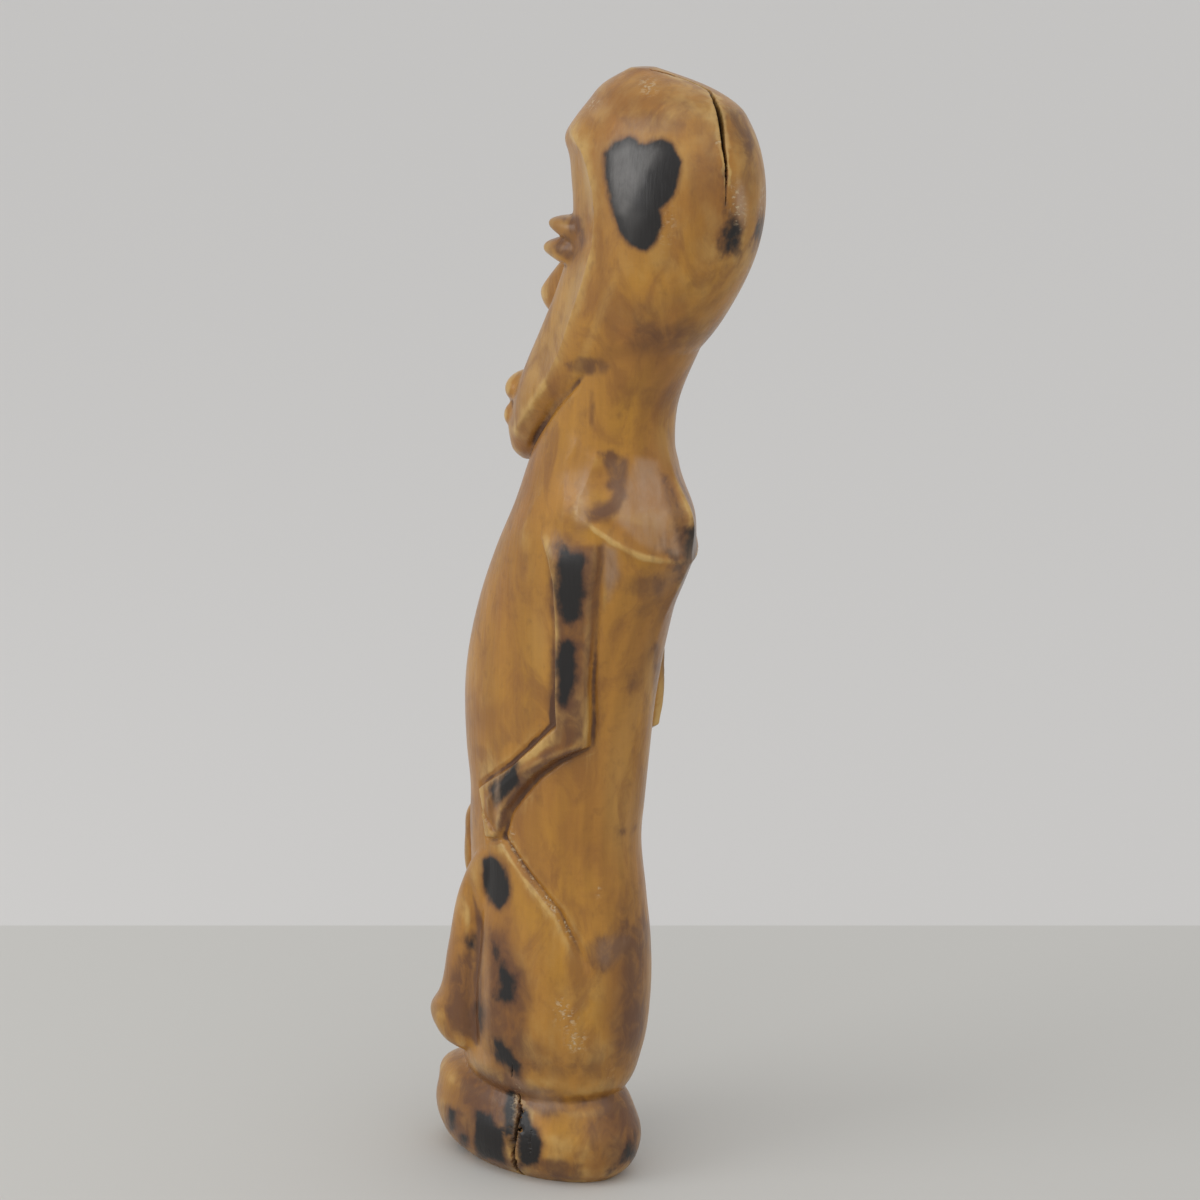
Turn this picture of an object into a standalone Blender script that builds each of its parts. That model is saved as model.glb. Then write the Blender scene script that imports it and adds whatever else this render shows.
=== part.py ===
"""A carved wooden figure, squatting with its hands on its knees, cut from one piece of hardwood.

The figure faces -Y and its left side is +X. It stands on the flat underside of its own rounded
base, whose middle is the origin. Its two sides are alike, so each form of a side is made twice.
All forms and carving are laid out in parts of about a millimetre.
"""

import bmesh
import bpy
import math
import numpy as np
from mathutils import Matrix

# Driving dimensions
HEIGHT = 0.220
PARTS = 221.1
UNIT = HEIGHT / PARTS
UNDERSIDE = -1.1

# Fineness of the mesh, in parts of the height
BLANK_GRAIN = 0.8
RING_POINTS = 56
RING_STEP = 1.5
EGG_SIDES = 32
SMOOTHING_ROUNDS = 3
SMOOTHING_STRENGTH = 0.5
SAW_TOLERANCE = 1e-6
FACES_KEPT = 9400

# Finish of the wood
WOOD_COLOUR = (0.43, 0.22, 0.05, 1.0)
WOOD_ROUGHNESS = 0.36

# Level sections of the main forms, from the bottom up. Each row is height, front, back,
# half width, how much wider the back half is than the front, and how far the back is cut
# to two flat planes that meet in a keel.
BASE = [
    (-5.0, -14.0, 14.0, 6.0, 0.0, 0.0),
    (-1.1, -19.2, 18.5, 10.4, 0.0, 0.0),
    (1.0, -22.0, 21.0, 12.8, 0.0, 0.0),
    (4.5, -24.6, 22.9, 14.3, 0.0, 0.0),
    (8.5, -25.7, 23.3, 14.6, 0.0, 0.0),
    (12.0, -25.2, 22.2, 13.6, 0.0, 0.0),
    (16.0, -24.0, 20.3, 11.9, 0.0, 0.0),
    (20.0, -14.0, 15.0, 8.0, 0.0, 0.0),
]
TRUNK = [
    (13.5, -13.0, 16.0, 9.0, 0.0, 0.0),
    (18.0, -16.5, 20.0, 13.2, 0.0, 0.0),
    (25.0, -17.0, 22.6, 15.7, 0.0, 0.0),
    (36.0, -17.0, 24.4, 16.6, 0.0, 0.0),
    (47.0, -17.0, 24.7, 15.8, 0.03, 0.0),
    (58.0, -15.0, 23.8, 14.2, 0.05, 0.0),
    (70.0, -15.3, 22.8, 13.5, 0.05, 0.0),
    (77.0, -15.2, 23.7, 13.4, 0.05, 0.0),
    (85.0, -16.3, 24.8, 13.4, 0.05, 0.0),
    (100.0, -16.4, 26.8, 13.6, 0.08, 0.0),
    (115.0, -12.7, 31.0, 13.8, 0.17, 0.15),
    (127.0, -7.5, 36.9, 14.4, 0.30, 0.45),
    (136.0, -2.9, 38.5, 13.8, 0.30, 0.6),
    (145.0, 0.8, 33.4, 12.0, 0.14, 0.4),
    (155.0, 6.0, 31.4, 11.2, 0.0, 0.0),
    (168.0, 12.0, 37.0, 11.4, 0.0, 0.0),
    (180.0, 20.0, 44.0, 11.0, 0.0, 0.0),
]
HEAD = [
    (143.2, -3.6, -0.6, 1.6, 0.0, 0.0),
    (144.6, -5.0, 2.8, 3.8, 0.0, 0.0),
    (147.4, -5.5, 6.2, 5.9, 0.0, 0.0),
    (152.0, -4.8, 11.0, 8.6, 0.0, 0.0),
    (157.5, -2.8, 18.0, 10.8, 0.0, 0.0),
    (163.0, -0.2, 31.1, 12.0, 0.0, 0.0),
    (169.0, 3.2, 38.2, 12.9, 0.0, 0.0),
    (178.0, 8.0, 45.2, 14.0, 0.0, 0.0),
    (188.0, 12.0, 50.2, 14.7, 0.0, 0.0),
    (198.0, 12.2, 51.8, 14.7, 0.0, 0.0),
    (203.5, 10.8, 51.3, 14.2, 0.0, 0.0),
    (207.3, 9.9, 50.3, 13.5, 0.0, 0.0),
    (210.3, 12.0, 48.8, 12.5, 0.0, 0.0),
    (213.5, 14.9, 46.3, 11.0, 0.0, 0.0),
    (217.4, 18.8, 37.7, 7.4, 0.0, 0.0),
    (220.0, 23.8, 28.0, 2.6, 0.0, 0.0),
]
SHIN = [
    (22.6, -12.0, -7.0, 4.0, 0.0, 0.0),
    (24.2, -16.2, -4.0, 6.4, 0.0, 0.0),
    (26.8, -19.5, -2.0, 7.4, 0.0, 0.0),
    (29.6, -20.9, -2.0, 7.5, 0.0, 0.0),
    (34.0, -18.4, -2.0, 7.0, 0.0, 0.0),
    (44.0, -16.0, -1.0, 6.4, 0.0, 0.0),
    (57.0, -12.6, 1.0, 6.0, 0.0, 0.0),
    (65.0, -8.2, 2.0, 5.2, 0.0, 0.0),
    (70.5, -3.6, 2.5, 2.8, 0.0, 0.0),
]
APRON = [
    (52.0, -16.6, -12.0, 2.6, 0.0, 0.0),
    (57.0, -18.0, -12.0, 4.4, 0.0, 0.0),
    (65.0, -18.2, -12.0, 4.6, 0.0, 0.0),
    (70.5, -17.8, -12.0, 3.4, 0.0, 0.0),
    (72.8, -16.0, -12.0, 1.6, 0.0, 0.0),
]
NOSE = [
    (171.4, 5.6, 14.0, 1.5, 0.0, 0.0),
    (172.8, 3.3, 14.0, 2.7, 0.0, 0.0),
    (174.6, 1.8, 14.0, 3.4, 0.0, 0.0),
    (176.6, 1.3, 14.0, 3.6, 0.0, 0.0),
    (179.0, 3.0, 14.0, 3.3, 0.0, 0.0),
    (182.0, 5.7, 15.0, 2.8, 0.0, 0.0),
    (186.0, 9.2, 16.0, 2.3, 0.0, 0.0),
    (190.0, 11.6, 16.0, 1.9, 0.0, 0.0),
]
SHIN_MIDDLE = 7.9

# The two lips, on the middle line: middle and half sizes
LIPS = [
    ((0.0, -1.8, 157.0), (6.0, 4.6, 3.9)),
    ((0.0, -2.3, 152.0), (5.6, 4.6, 3.8)),
]

# The eyes. Each row of a lid is how far back, lowest, highest and half width, from its tip
EYE_MIDDLE = 6.3
UPPER_LID = [
    (10.2, 190.4, 191.6, 2.2), (11.0, 189.9, 192.0, 3.4), (12.5, 189.0, 192.3, 4.2),
    (15.0, 187.8, 192.6, 4.6), (18.8, 186.2, 193.0, 4.7),
]
LOWER_LID = [
    (8.2, 185.6, 186.4, 1.6), (9.2, 185.0, 187.3, 2.8), (10.9, 184.2, 188.0, 3.6),
    (12.6, 183.5, 188.5, 4.2), (15.0, 182.8, 188.8, 4.5), (18.0, 182.2, 189.0, 4.6),
]
LID_LEVELS = 16
LID_SQUARENESS = 0.65

# Carved lines of one side, seen square from that side: how far back, and how high
ARM_OUTLINE = [
    (11.0, 141.0), (12.8, 131.6), (14.9, 128.0), (15.9, 123.5), (15.8, 118.0), (15.6, 110.6),
    (15.3, 101.0), (15.2, 95.2),
    (10.4, 90.3), (5.1, 85.4), (-1.9, 80.8), (-4.7, 78.9), (-1.9, 69.2), (1.5, 70.0),
    (3.5, 75.9), (6.6, 79.8), (10.5, 84.1), (15.0, 87.9), (20.4, 91.0), (20.9, 95.5),
    (21.4, 103.6), (22.4, 111.2), (24.0, 120.9), (25.5, 128.6), (25.6, 135.0), (24.0, 141.0),
]
YOKE_EDGE = [
    (21.0, 137.0), (24.6, 134.8), (27.2, 132.9), (29.5, 131.5), (32.4, 129.7), (36.0, 128.4),
    (42.0, 127.2),
]
YOKE_FACET = [(29.5, 149.0), (28.9, 141.9), (28.3, 138.3), (27.7, 134.9)]
THIGH_EDGE = [
    (0.6, 71.4), (2.0, 70.2), (5.4, 66.9), (8.3, 64.0), (11.8, 60.8), (15.3, 57.0), (18.1, 51.8),
    (20.2, 47.2), (21.0, 44.0),
]
SHIN_EDGE = [
    (-8.6, 61.5), (-6.9, 57.5), (-5.2, 53.2), (-4.4, 49.5), (-4.4, 45.0), (-5.0, 39.5), (-5.4, 32.7),
    (-5.0, 26.7), (-5.0, 22.0),
]
JAW_EDGE = [
    (22.5, 164.4), (19.8, 162.1), (16.6, 159.4), (12.6, 156.2), (9.1, 153.0), (5.8, 150.0),
    (3.0, 147.2), (1.0, 144.7),
]
SHOULDER_RIDGE = [(24.0, 150.0), (22.4, 145.0), (21.0, 140.0), (21.4, 134.0)]
CHEST_RIDGE = [(20.0, 152.5), (18.2, 148.2), (11.4, 140.4), (7.5, 133.4), (7.0, 126.0)]
FOREARM_RIDGE = [(20.6, 92.2), (13.0, 88.2), (8.0, 84.9), (3.4, 81.0), (-0.6, 77.4), (-0.2, 70.5)]
FACE_EDGE = [
    (13.0, 210.0), (18.6, 207.4), (21.6, 205.4), (23.6, 202.6), (25.6, 198.0), (26.2, 193.5),
    (25.6, 188.4), (22.7, 180.7), (19.3, 173.9), (16.3, 167.7), (13.1, 163.0), (9.8, 158.9),
    (6.2, 155.1), (1.8, 151.2), (-1.6, 147.8),
]

# How far the carving stands out or cuts in, and over what width
ARM_RELIEF = 0.8
ARM_FRONT_RELIEF = 0.4
ARM_SHADOW = 0.45
ARM_SHADOW_MIDDLE = -0.6
ARM_SHADOW_WIDTH = 0.55
ARM_EDGE = 0.7
EDGE_FOOT = -0.3
SIDE_BLEND = (2.0, 5.0)
FRONT_BLEND = (-3.0, 3.0)
ARM_MIDDLE = 18.0
UPPER_ARM = (91.0, 96.0)
ARM_TOP = 134.5
ARM_BLEND = 8.0
ELBOW_RELIEF = 1.7
ELBOW_HEIGHT = 97.0
ELBOW_REACH = 11.0
ARMPIT_DEPTH = 0.6
ARMPIT_MIDDLE = (29.0, 124.5)
ARMPIT_REACH = (3.0, 7.0)
YOKE_RISE = 0.95
YOKE_WIDTH = 1.8
FACET_RISE = 0.35
SHOULDER_KNOB = 0.8
SHOULDER_MIDDLE = (21.8, 136.5)
SHOULDER_REACH = 3.6
THIGH_RELIEF = 0.7
THIGH_EDGE_WIDTH = 0.9
KNEE_BLEND = (-7.0, 1.0)
THIGH_FADE = 12.0
THIGH_RUN_OUT = 9.0
GROOVE_DEPTH = 0.7
GROOVE_WIDTH = 0.7
VALLEY_DEPTH = 0.9
VALLEY_WIDTH = 1.7
SHOULDER_RISE = 0.45
CHEST_RISE = 0.25
FOREARM_RISE = 0.6
RIDGE_WIDTH = 1.3
BROAD_RIDGE = 2.2
JAW_DEPTH = 0.55
JAW_WIDTH = 0.65
FACE_RIDGE = 0.3
FACE_HOLLOW = 0.9
FACE_SLOPE = 2.4
FACE_REACH = (3.0, 10.0)
FACE_END_FADE = 0.06
LINE_END_FADE = 0.2


def between(rows, height):
    """One section between the given ones, on a smooth curve through each column of the rows."""
    table = np.array(rows)
    heights = table[:, 0]
    k = int(np.clip(np.searchsorted(heights, height) - 1, 0, len(heights) - 2))
    slopes = np.gradient(table, heights, axis=0)
    span = heights[k + 1] - heights[k]
    t = (height - heights[k]) / span
    start, end = table[k], table[k + 1]
    return (
        (2 * t**3 - 3 * t**2 + 1) * start
        + (t**3 - 2 * t**2 + t) * span * slopes[k]
        + (3 * t**2 - 2 * t**3) * end
        + (t**3 - t**2) * span * slopes[k + 1]
    )


def ring_points(section, middle_x):
    """The points of one level section, seen from above, starting at its left side."""
    height, front, back, half_width, back_wider, keel = section
    middle_y = (front + back) / 2
    half_depth = (back - front) / 2
    points = []
    for i in range(RING_POINTS):
        angle = math.tau * i / RING_POINTS
        across, along = math.cos(angle), math.sin(angle)
        if along > 0:
            straight = 1 / (abs(across) + along)
            cut_back = 1 + keel * (straight - 1)
            across, along = across * cut_back, along * cut_back
        across *= half_width * (1 + back_wider * math.sin(angle))
        along *= half_depth
        points.append((middle_x + across, middle_y + along, height))
    return points


def add_loft(forms, rows, middle_x=0.0):
    """Adds a closed form whose level sections follow the rows."""
    levels = max(4, round((rows[-1][0] - rows[0][0]) / RING_STEP))
    rings = []
    for level in range(levels + 1):
        height = rows[0][0] + (rows[-1][0] - rows[0][0]) * level / levels
        points = ring_points(between(rows, height), middle_x)
        rings.append([forms.verts.new(point) for point in points])
    for low, high in zip(rings, rings[1:]):
        for i in range(RING_POINTS):
            j = (i + 1) % RING_POINTS
            forms.faces.new((low[i], low[j], high[j], high[i]))
    forms.faces.new(rings[0][::-1])
    forms.faces.new(rings[-1])


def add_egg(forms, middle, half_sizes):
    """Adds a rounded lump."""
    place = Matrix.Translation(middle) @ Matrix.Diagonal((*half_sizes, 1.0))
    bmesh.ops.create_uvsphere(
        forms, u_segments=EGG_SIDES, v_segments=EGG_SIDES // 2, radius=1.0, matrix=place
    )


def add_lid(forms, middle_x, rows):
    """Adds an eyelid that juts forward, with the upright sections that its rows give."""
    rings = []
    for level in range(LID_LEVELS + 1):
        y = rows[-1][0] + (rows[0][0] - rows[-1][0]) * level / LID_LEVELS
        _, low, high, half_width = between(rows, y)
        ring = []
        for i in range(RING_POINTS):
            angle = math.tau * i / RING_POINTS
            upward = math.sin(angle)
            bulge = math.copysign(abs(upward) ** LID_SQUARENESS, upward)
            x = middle_x + math.cos(angle) * half_width
            z = (low + high) / 2 + bulge * (high - low) / 2
            ring.append(forms.verts.new((x, y, z)))
        rings.append(ring)
    for near, far in zip(rings, rings[1:]):
        for i in range(RING_POINTS):
            j = (i + 1) % RING_POINTS
            forms.faces.new((near[i], near[j], far[j], far[i]))
    forms.faces.new(rings[0][::-1])
    forms.faces.new(rings[-1])


def add_face_features(forms):
    """Adds the nose and lips on the middle line, and on each side an eye of two heavy lids."""
    add_loft(forms, NOSE)
    for middle, half_sizes in LIPS:
        add_egg(forms, middle, half_sizes)
    for side in (-1, 1):
        add_lid(forms, side * EYE_MIDDLE, UPPER_LID)
        add_lid(forms, side * EYE_MIDDLE, LOWER_LID)


def make_blank():
    """The closed forms of the figure, grown together into one skin, without the fine carving."""
    forms = bmesh.new()
    add_loft(forms, BASE)
    add_loft(forms, TRUNK)
    add_loft(forms, HEAD)
    add_loft(forms, APRON)
    for side in (-1, 1):
        add_loft(forms, SHIN, side * SHIN_MIDDLE)
    add_face_features(forms)
    mesh = bpy.data.meshes.new("blank")
    forms.to_mesh(mesh)
    forms.free()
    blank = bpy.data.objects.new("blank", mesh)
    bpy.context.collection.objects.link(blank)
    remesh = blank.modifiers.new("one skin", "REMESH")
    remesh.mode = "VOXEL"
    remesh.voxel_size = BLANK_GRAIN
    smooth = blank.modifiers.new("rounded joins", "SMOOTH")
    smooth.factor = SMOOTHING_STRENGTH
    smooth.iterations = SMOOTHING_ROUNDS
    graph = bpy.context.evaluated_depsgraph_get()
    skin = bpy.data.meshes.new_from_object(blank.evaluated_get(graph))
    bpy.data.objects.remove(blank)
    return skin


def line_distance(points, line, closed=False):
    """Distance in the side view from each point to a line, with its sign, and its place along.

    The distance is above nought on the left of the line's direction. The place runs from 0 at
    the line's start to 1 at its end.
    """
    flat = points[:, 1:3]
    corners = np.array(line + line[:1] if closed else line, dtype=float)
    best = np.full(len(flat), np.inf)
    signed = np.zeros(len(flat))
    place = np.zeros(len(flat))
    for i, (start, end) in enumerate(zip(corners, corners[1:])):
        along = end - start
        t = np.clip((flat - start) @ along / (along @ along), 0.0, 1.0)
        gap = flat - (start + t[:, None] * along)
        distance = np.hypot(gap[:, 0], gap[:, 1])
        turn = along[0] * gap[:, 1] - along[1] * gap[:, 0]
        nearer = distance < best
        best = np.where(nearer, distance, best)
        signed = np.where(nearer, np.where(turn >= 0, distance, -distance), signed)
        place = np.where(nearer, (i + t) / (len(corners) - 1), place)
    return signed, place


def inside(points, outline):
    """Whether each point lies within a closed outline of the side view."""
    y, z = points[:, 1], points[:, 2]
    crossings = np.zeros(len(points), dtype=int)
    corners = outline + outline[:1]
    for (y0, z0), (y1, z1) in zip(corners, corners[1:]):
        if z0 == z1:
            continue
        crosses = ((z0 > z) != (z1 > z)) & (y < y0 + (z - z0) * (y1 - y0) / (z1 - z0))
        crossings += crosses
    return crossings % 2 == 1


def soft_step(value, start, end):
    """Rises smoothly from 0 at start to 1 at end."""
    t = np.clip((value - start) / (end - start), 0.0, 1.0)
    return t * t * (3 - 2 * t)


def ends_faded(place, share=LINE_END_FADE):
    """Lets a carved line run out towards both of its ends."""
    return soft_step(place, 0.0, share) * soft_step(1.0 - place, 0.0, share)


def groove(points, line, depth=GROOVE_DEPTH, width=GROOVE_WIDTH):
    """A carved groove along a line of the side view."""
    distance, place = line_distance(points, line)
    return -depth * np.exp(-((distance / width) ** 2)) * ends_faded(place)


def ridge(points, line, rise, width=RIDGE_WIDTH):
    """A raised edge along a line of the side view, where two carved faces meet."""
    distance, place = line_distance(points, line)
    return rise * np.exp(-np.abs(distance) / width) * ends_faded(place)


def swelling(points, middle, reach):
    """A soft round form of the side view, from 1 at its middle to nothing beyond its reach."""
    return np.exp(-(((points[:, 1:3] - middle) / reach) ** 2).sum(axis=1))


def carve_arms(points):
    """How far the arms and hands stand out from the body."""
    distance, _ = line_distance(points, ARM_OUTLINE, closed=True)
    depth_in = np.where(inside(points, ARM_OUTLINE), np.abs(distance), -np.abs(distance))
    on_side = soft_step(np.abs(points[:, 0]), *SIDE_BLEND)
    on_side *= soft_step(ARM_TOP - points[:, 2], 0.0, ARM_BLEND)
    in_front = soft_step(ARM_MIDDLE - points[:, 1], *FRONT_BLEND)
    at_elbow = np.exp(-(((points[:, 2] - ELBOW_HEIGHT) / ELBOW_REACH) ** 2))
    proud = ARM_RELIEF + ARM_FRONT_RELIEF * in_front + ELBOW_RELIEF * at_elbow
    move = proud * soft_step(depth_in, EDGE_FOOT, ARM_EDGE)
    upper_front = in_front * soft_step(points[:, 2], *UPPER_ARM)
    shadow = np.exp(-(((depth_in - ARM_SHADOW_MIDDLE) / ARM_SHADOW_WIDTH) ** 2))
    move -= ARM_SHADOW * shadow * (1 - upper_front)
    move -= ARMPIT_DEPTH * swelling(points, ARMPIT_MIDDLE, ARMPIT_REACH) * (depth_in < 0)
    move += ridge(points, FOREARM_RIDGE, FOREARM_RISE)
    return move * on_side


def carve_thighs(points):
    """How far the thighs stand out below their upper edge, and the groove along it."""
    behind_knee = soft_step(THIGH_EDGE[-1][0] - points[:, 1], 0.0, THIGH_RUN_OUT)
    distance, _ = line_distance(points, THIGH_EDGE[::-1])
    swell = np.exp(-np.clip(distance, 0.0, None) / THIGH_FADE)
    swell *= soft_step(points[:, 1], *KNEE_BLEND)
    move = THIGH_RELIEF * soft_step(distance, EDGE_FOOT, THIGH_EDGE_WIDTH) * swell
    return move * behind_knee + groove(points, THIGH_EDGE)


def carving(points):
    """How far each point of the skin moves outwards for the carving of the two sides."""
    move = carve_arms(points) + carve_thighs(points)
    move += groove(points, SHIN_EDGE, VALLEY_DEPTH, VALLEY_WIDTH)
    move += groove(points, JAW_EDGE, JAW_DEPTH, JAW_WIDTH)
    move += ridge(points, YOKE_EDGE, YOKE_RISE, YOKE_WIDTH)
    move += ridge(points, YOKE_FACET, FACET_RISE, BROAD_RIDGE)
    move += ridge(points, SHOULDER_RIDGE, SHOULDER_RISE, BROAD_RIDGE)
    move += SHOULDER_KNOB * swelling(points, SHOULDER_MIDDLE, SHOULDER_REACH)
    move += ridge(points, CHEST_RIDGE, CHEST_RISE, BROAD_RIDGE)
    distance, place = line_distance(points, FACE_EDGE)
    on_face = 1 - np.exp(np.clip(distance, None, 0.0) / FACE_SLOPE)
    on_face *= 1 - soft_step(-distance, *FACE_REACH)
    rim = FACE_RIDGE * np.exp(-np.abs(distance) / BROAD_RIDGE)
    return move + (rim - FACE_HOLLOW * on_face) * ends_faded(place, FACE_END_FADE)


def carve(skin):
    """Moves the skin's points along their normals, and brings the figure to its real size."""
    count = len(skin.vertices)
    points = np.empty(count * 3, dtype=np.float32)
    normals = np.empty(count * 3, dtype=np.float32)
    skin.vertices.foreach_get("co", points)
    skin.vertex_normals.foreach_get("vector", normals)
    points = points.reshape(-1, 3).astype(float)
    normals = normals.reshape(-1, 3)
    points += normals * carving(points)[:, None]
    skin.vertices.foreach_set("co", (points * UNIT).astype(np.float32).ravel())
    skin.update()


def thin_out(figure):
    """Leaves only as many faces as the form needs."""
    reduce = figure.modifiers.new("fewer faces", "DECIMATE")
    faces = sum(len(face.vertices) - 2 for face in figure.data.polygons)
    reduce.ratio = FACES_KEPT / faces
    graph = bpy.context.evaluated_depsgraph_get()
    mesh = bpy.data.meshes.new_from_object(figure.evaluated_get(graph))
    figure.modifiers.clear()
    figure.data = mesh


def flatten_underside(figure):
    """Saws the base off level, so that the figure stands at the origin on a flat face."""
    cut = bmesh.new()
    cut.from_mesh(figure.data)
    everything = cut.verts[:] + cut.edges[:] + cut.faces[:]
    bmesh.ops.bisect_plane(
        cut,
        geom=everything,
        dist=SAW_TOLERANCE,
        plane_co=(0, 0, UNDERSIDE * UNIT),
        plane_no=(0, 0, 1),
        clear_inner=True,
    )
    rim = [edge for edge in cut.edges if edge.is_boundary]
    bmesh.ops.contextual_create(cut, geom=rim)
    bmesh.ops.recalc_face_normals(cut, faces=cut.faces[:])
    bmesh.ops.translate(cut, verts=cut.verts[:], vec=(0, 0, -UNDERSIDE * UNIT))
    cut.to_mesh(figure.data)
    cut.free()


def wood():
    """Honey coloured hardwood, oiled and rubbed to a low polish."""
    material = bpy.data.materials.new("honey_hardwood")
    material.use_nodes = True
    shader = material.node_tree.nodes["Principled BSDF"]
    shader.inputs["Base Color"].default_value = WOOD_COLOUR
    shader.inputs["Roughness"].default_value = WOOD_ROUGHNESS
    shader.inputs["Metallic"].default_value = 0.0
    material.diffuse_color = WOOD_COLOUR
    return material


def main():
    for old in list(bpy.data.objects):
        bpy.data.objects.remove(old)
    skin = make_blank()
    carve(skin)
    figure = bpy.data.objects.new("carved_figure", skin)
    bpy.context.collection.objects.link(figure)
    thin_out(figure)
    flatten_underside(figure)
    figure.data.materials.clear()
    figure.data.materials.append(wood())
    figure.data.shade_smooth()


main()
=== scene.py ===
"""A carved wooden figure that squats with its hands on its knees, on a pale studio floor.

The figure faces -Y and stands on the flat underside of its rounded base, at the origin. All its
forms and carving are laid out in parts of about a millimetre, and brought to the real height at
the end. Its burns and stains are laid out where the picture's camera sees them.
"""

import math

import bpy
import numpy as np
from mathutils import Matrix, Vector


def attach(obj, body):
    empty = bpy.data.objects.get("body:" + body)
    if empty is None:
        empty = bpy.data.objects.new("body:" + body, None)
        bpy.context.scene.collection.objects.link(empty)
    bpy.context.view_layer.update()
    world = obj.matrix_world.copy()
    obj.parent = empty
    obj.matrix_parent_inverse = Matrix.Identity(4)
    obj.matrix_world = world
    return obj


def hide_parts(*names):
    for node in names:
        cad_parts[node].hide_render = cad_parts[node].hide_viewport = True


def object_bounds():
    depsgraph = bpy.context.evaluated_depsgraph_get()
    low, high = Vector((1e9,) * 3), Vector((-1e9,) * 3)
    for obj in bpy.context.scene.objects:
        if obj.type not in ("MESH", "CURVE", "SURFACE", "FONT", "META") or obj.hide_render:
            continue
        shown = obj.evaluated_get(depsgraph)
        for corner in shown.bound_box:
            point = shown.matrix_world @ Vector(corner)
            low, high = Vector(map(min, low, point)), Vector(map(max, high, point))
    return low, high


bl_info = {
    "name": "Carved Wooden Figure",
    "version": (1, 0, 0),
    "blender": (4, 5, 0),
    "location": "3D View > Sidebar > Figure",
    "description": "Carves a small squatting figure of burnt and polished hardwood",
    "category": "Add Mesh",
}

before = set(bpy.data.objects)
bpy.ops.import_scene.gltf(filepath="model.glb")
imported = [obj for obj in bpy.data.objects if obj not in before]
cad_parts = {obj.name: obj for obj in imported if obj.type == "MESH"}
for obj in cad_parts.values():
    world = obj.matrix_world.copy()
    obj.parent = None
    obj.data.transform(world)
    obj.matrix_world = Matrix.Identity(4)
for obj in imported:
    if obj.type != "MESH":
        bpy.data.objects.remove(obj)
LOW_CORNER, HIGH_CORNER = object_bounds()

# The figure is so many parts high, and its underside lies so far below the parts' zero
PARTS = 221.1
UNDERSIDE = -1.1
RING_POINTS = 72
RING_STEP = 1.0
ROUNDING = 1.0

# Level sections of the main forms, from the bottom up. Each row is height, front, back and half
# width, and on the trunk also how much wider the back half is than the front, and how far the
# back is cut to two flat planes that meet in a keel. What a row leaves out is 0.
SECTION_VALUES = 6
LEAST_LEVELS = 4
BASE = [
    (-5.0, -14.0, 14.0, 6.0),
    (-1.1, -19.2, 18.5, 10.4),
    (1.0, -22.0, 21.0, 12.8),
    (4.5, -24.6, 22.9, 14.3),
    (8.5, -25.7, 23.3, 14.6),
    (12.0, -25.2, 22.2, 13.6),
    (16.0, -24.0, 20.3, 11.9),
    (20.0, -14.0, 15.0, 8.0),
]
TRUNK = [
    (13.5, -13.0, 16.0, 9.0),
    (18.0, -16.5, 20.0, 13.2),
    (25.0, -17.0, 22.6, 15.7),
    (36.0, -17.0, 24.4, 16.6),
    (47.0, -17.0, 24.7, 15.8, 0.03),
    (58.0, -15.0, 23.8, 14.2, 0.05),
    (70.0, -15.3, 22.8, 13.5, 0.05),
    (77.0, -15.2, 23.7, 13.4, 0.05),
    (85.0, -16.3, 24.8, 13.4, 0.05),
    (100.0, -16.4, 26.8, 13.6, 0.08),
    (115.0, -12.7, 31.0, 13.8, 0.17, 0.15),
    (127.0, -7.5, 36.9, 14.4, 0.30, 0.45),
    (136.0, -2.9, 38.5, 13.8, 0.30, 0.6),
    (145.0, 0.8, 33.4, 12.0, 0.14, 0.4),
    (155.0, 6.0, 31.4, 11.2),
    (168.0, 12.0, 37.0, 11.4),
    (180.0, 20.0, 44.0, 11.0),
]
HEAD = [
    (143.2, -3.6, -0.6, 1.6),
    (144.6, -5.0, 2.8, 3.8),
    (147.4, -5.5, 6.2, 5.9),
    (152.0, -4.8, 11.0, 8.6),
    (157.5, -2.8, 18.0, 10.8),
    (163.0, -0.2, 31.1, 12.0),
    (169.0, 3.2, 38.2, 12.9),
    (178.0, 8.0, 45.2, 14.0),
    (188.0, 12.0, 50.2, 14.7),
    (198.0, 12.2, 51.8, 14.7),
    (203.5, 10.8, 51.3, 14.2),
    (207.3, 9.9, 50.3, 13.5),
    (210.3, 12.0, 48.8, 12.5),
    (213.5, 14.9, 46.3, 11.0),
    (217.4, 18.8, 37.7, 7.4),
    (220.0, 23.8, 28.0, 2.6),
]
SHIN = [
    (22.6, -12.0, -7.0, 4.0),
    (24.2, -16.2, -4.0, 6.4),
    (26.8, -19.5, -2.0, 7.4),
    (29.6, -20.9, -2.0, 7.5),
    (34.0, -18.4, -2.0, 7.0),
    (44.0, -16.0, -1.0, 6.4),
    (57.0, -12.6, 1.0, 6.0),
    (65.0, -8.2, 2.0, 5.2),
    (70.5, -3.6, 2.5, 2.8),
]
APRON = [
    (52.0, -16.6, -12.0, 2.6),
    (57.0, -18.0, -12.0, 4.4),
    (65.0, -18.2, -12.0, 4.6),
    (70.5, -17.8, -12.0, 3.4),
    (72.8, -16.0, -12.0, 1.6),
]
NOSE = [
    (171.4, 5.6, 14.0, 1.5),
    (172.8, 3.3, 14.0, 2.7),
    (174.6, 1.8, 14.0, 3.4),
    (176.6, 1.3, 14.0, 3.6),
    (179.0, 3.0, 14.0, 3.3),
    (182.0, 5.7, 15.0, 2.8),
    (186.0, 9.2, 16.0, 2.3),
    (190.0, 11.6, 16.0, 1.9),
]
SHIN_MIDDLE = 7.9

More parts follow.
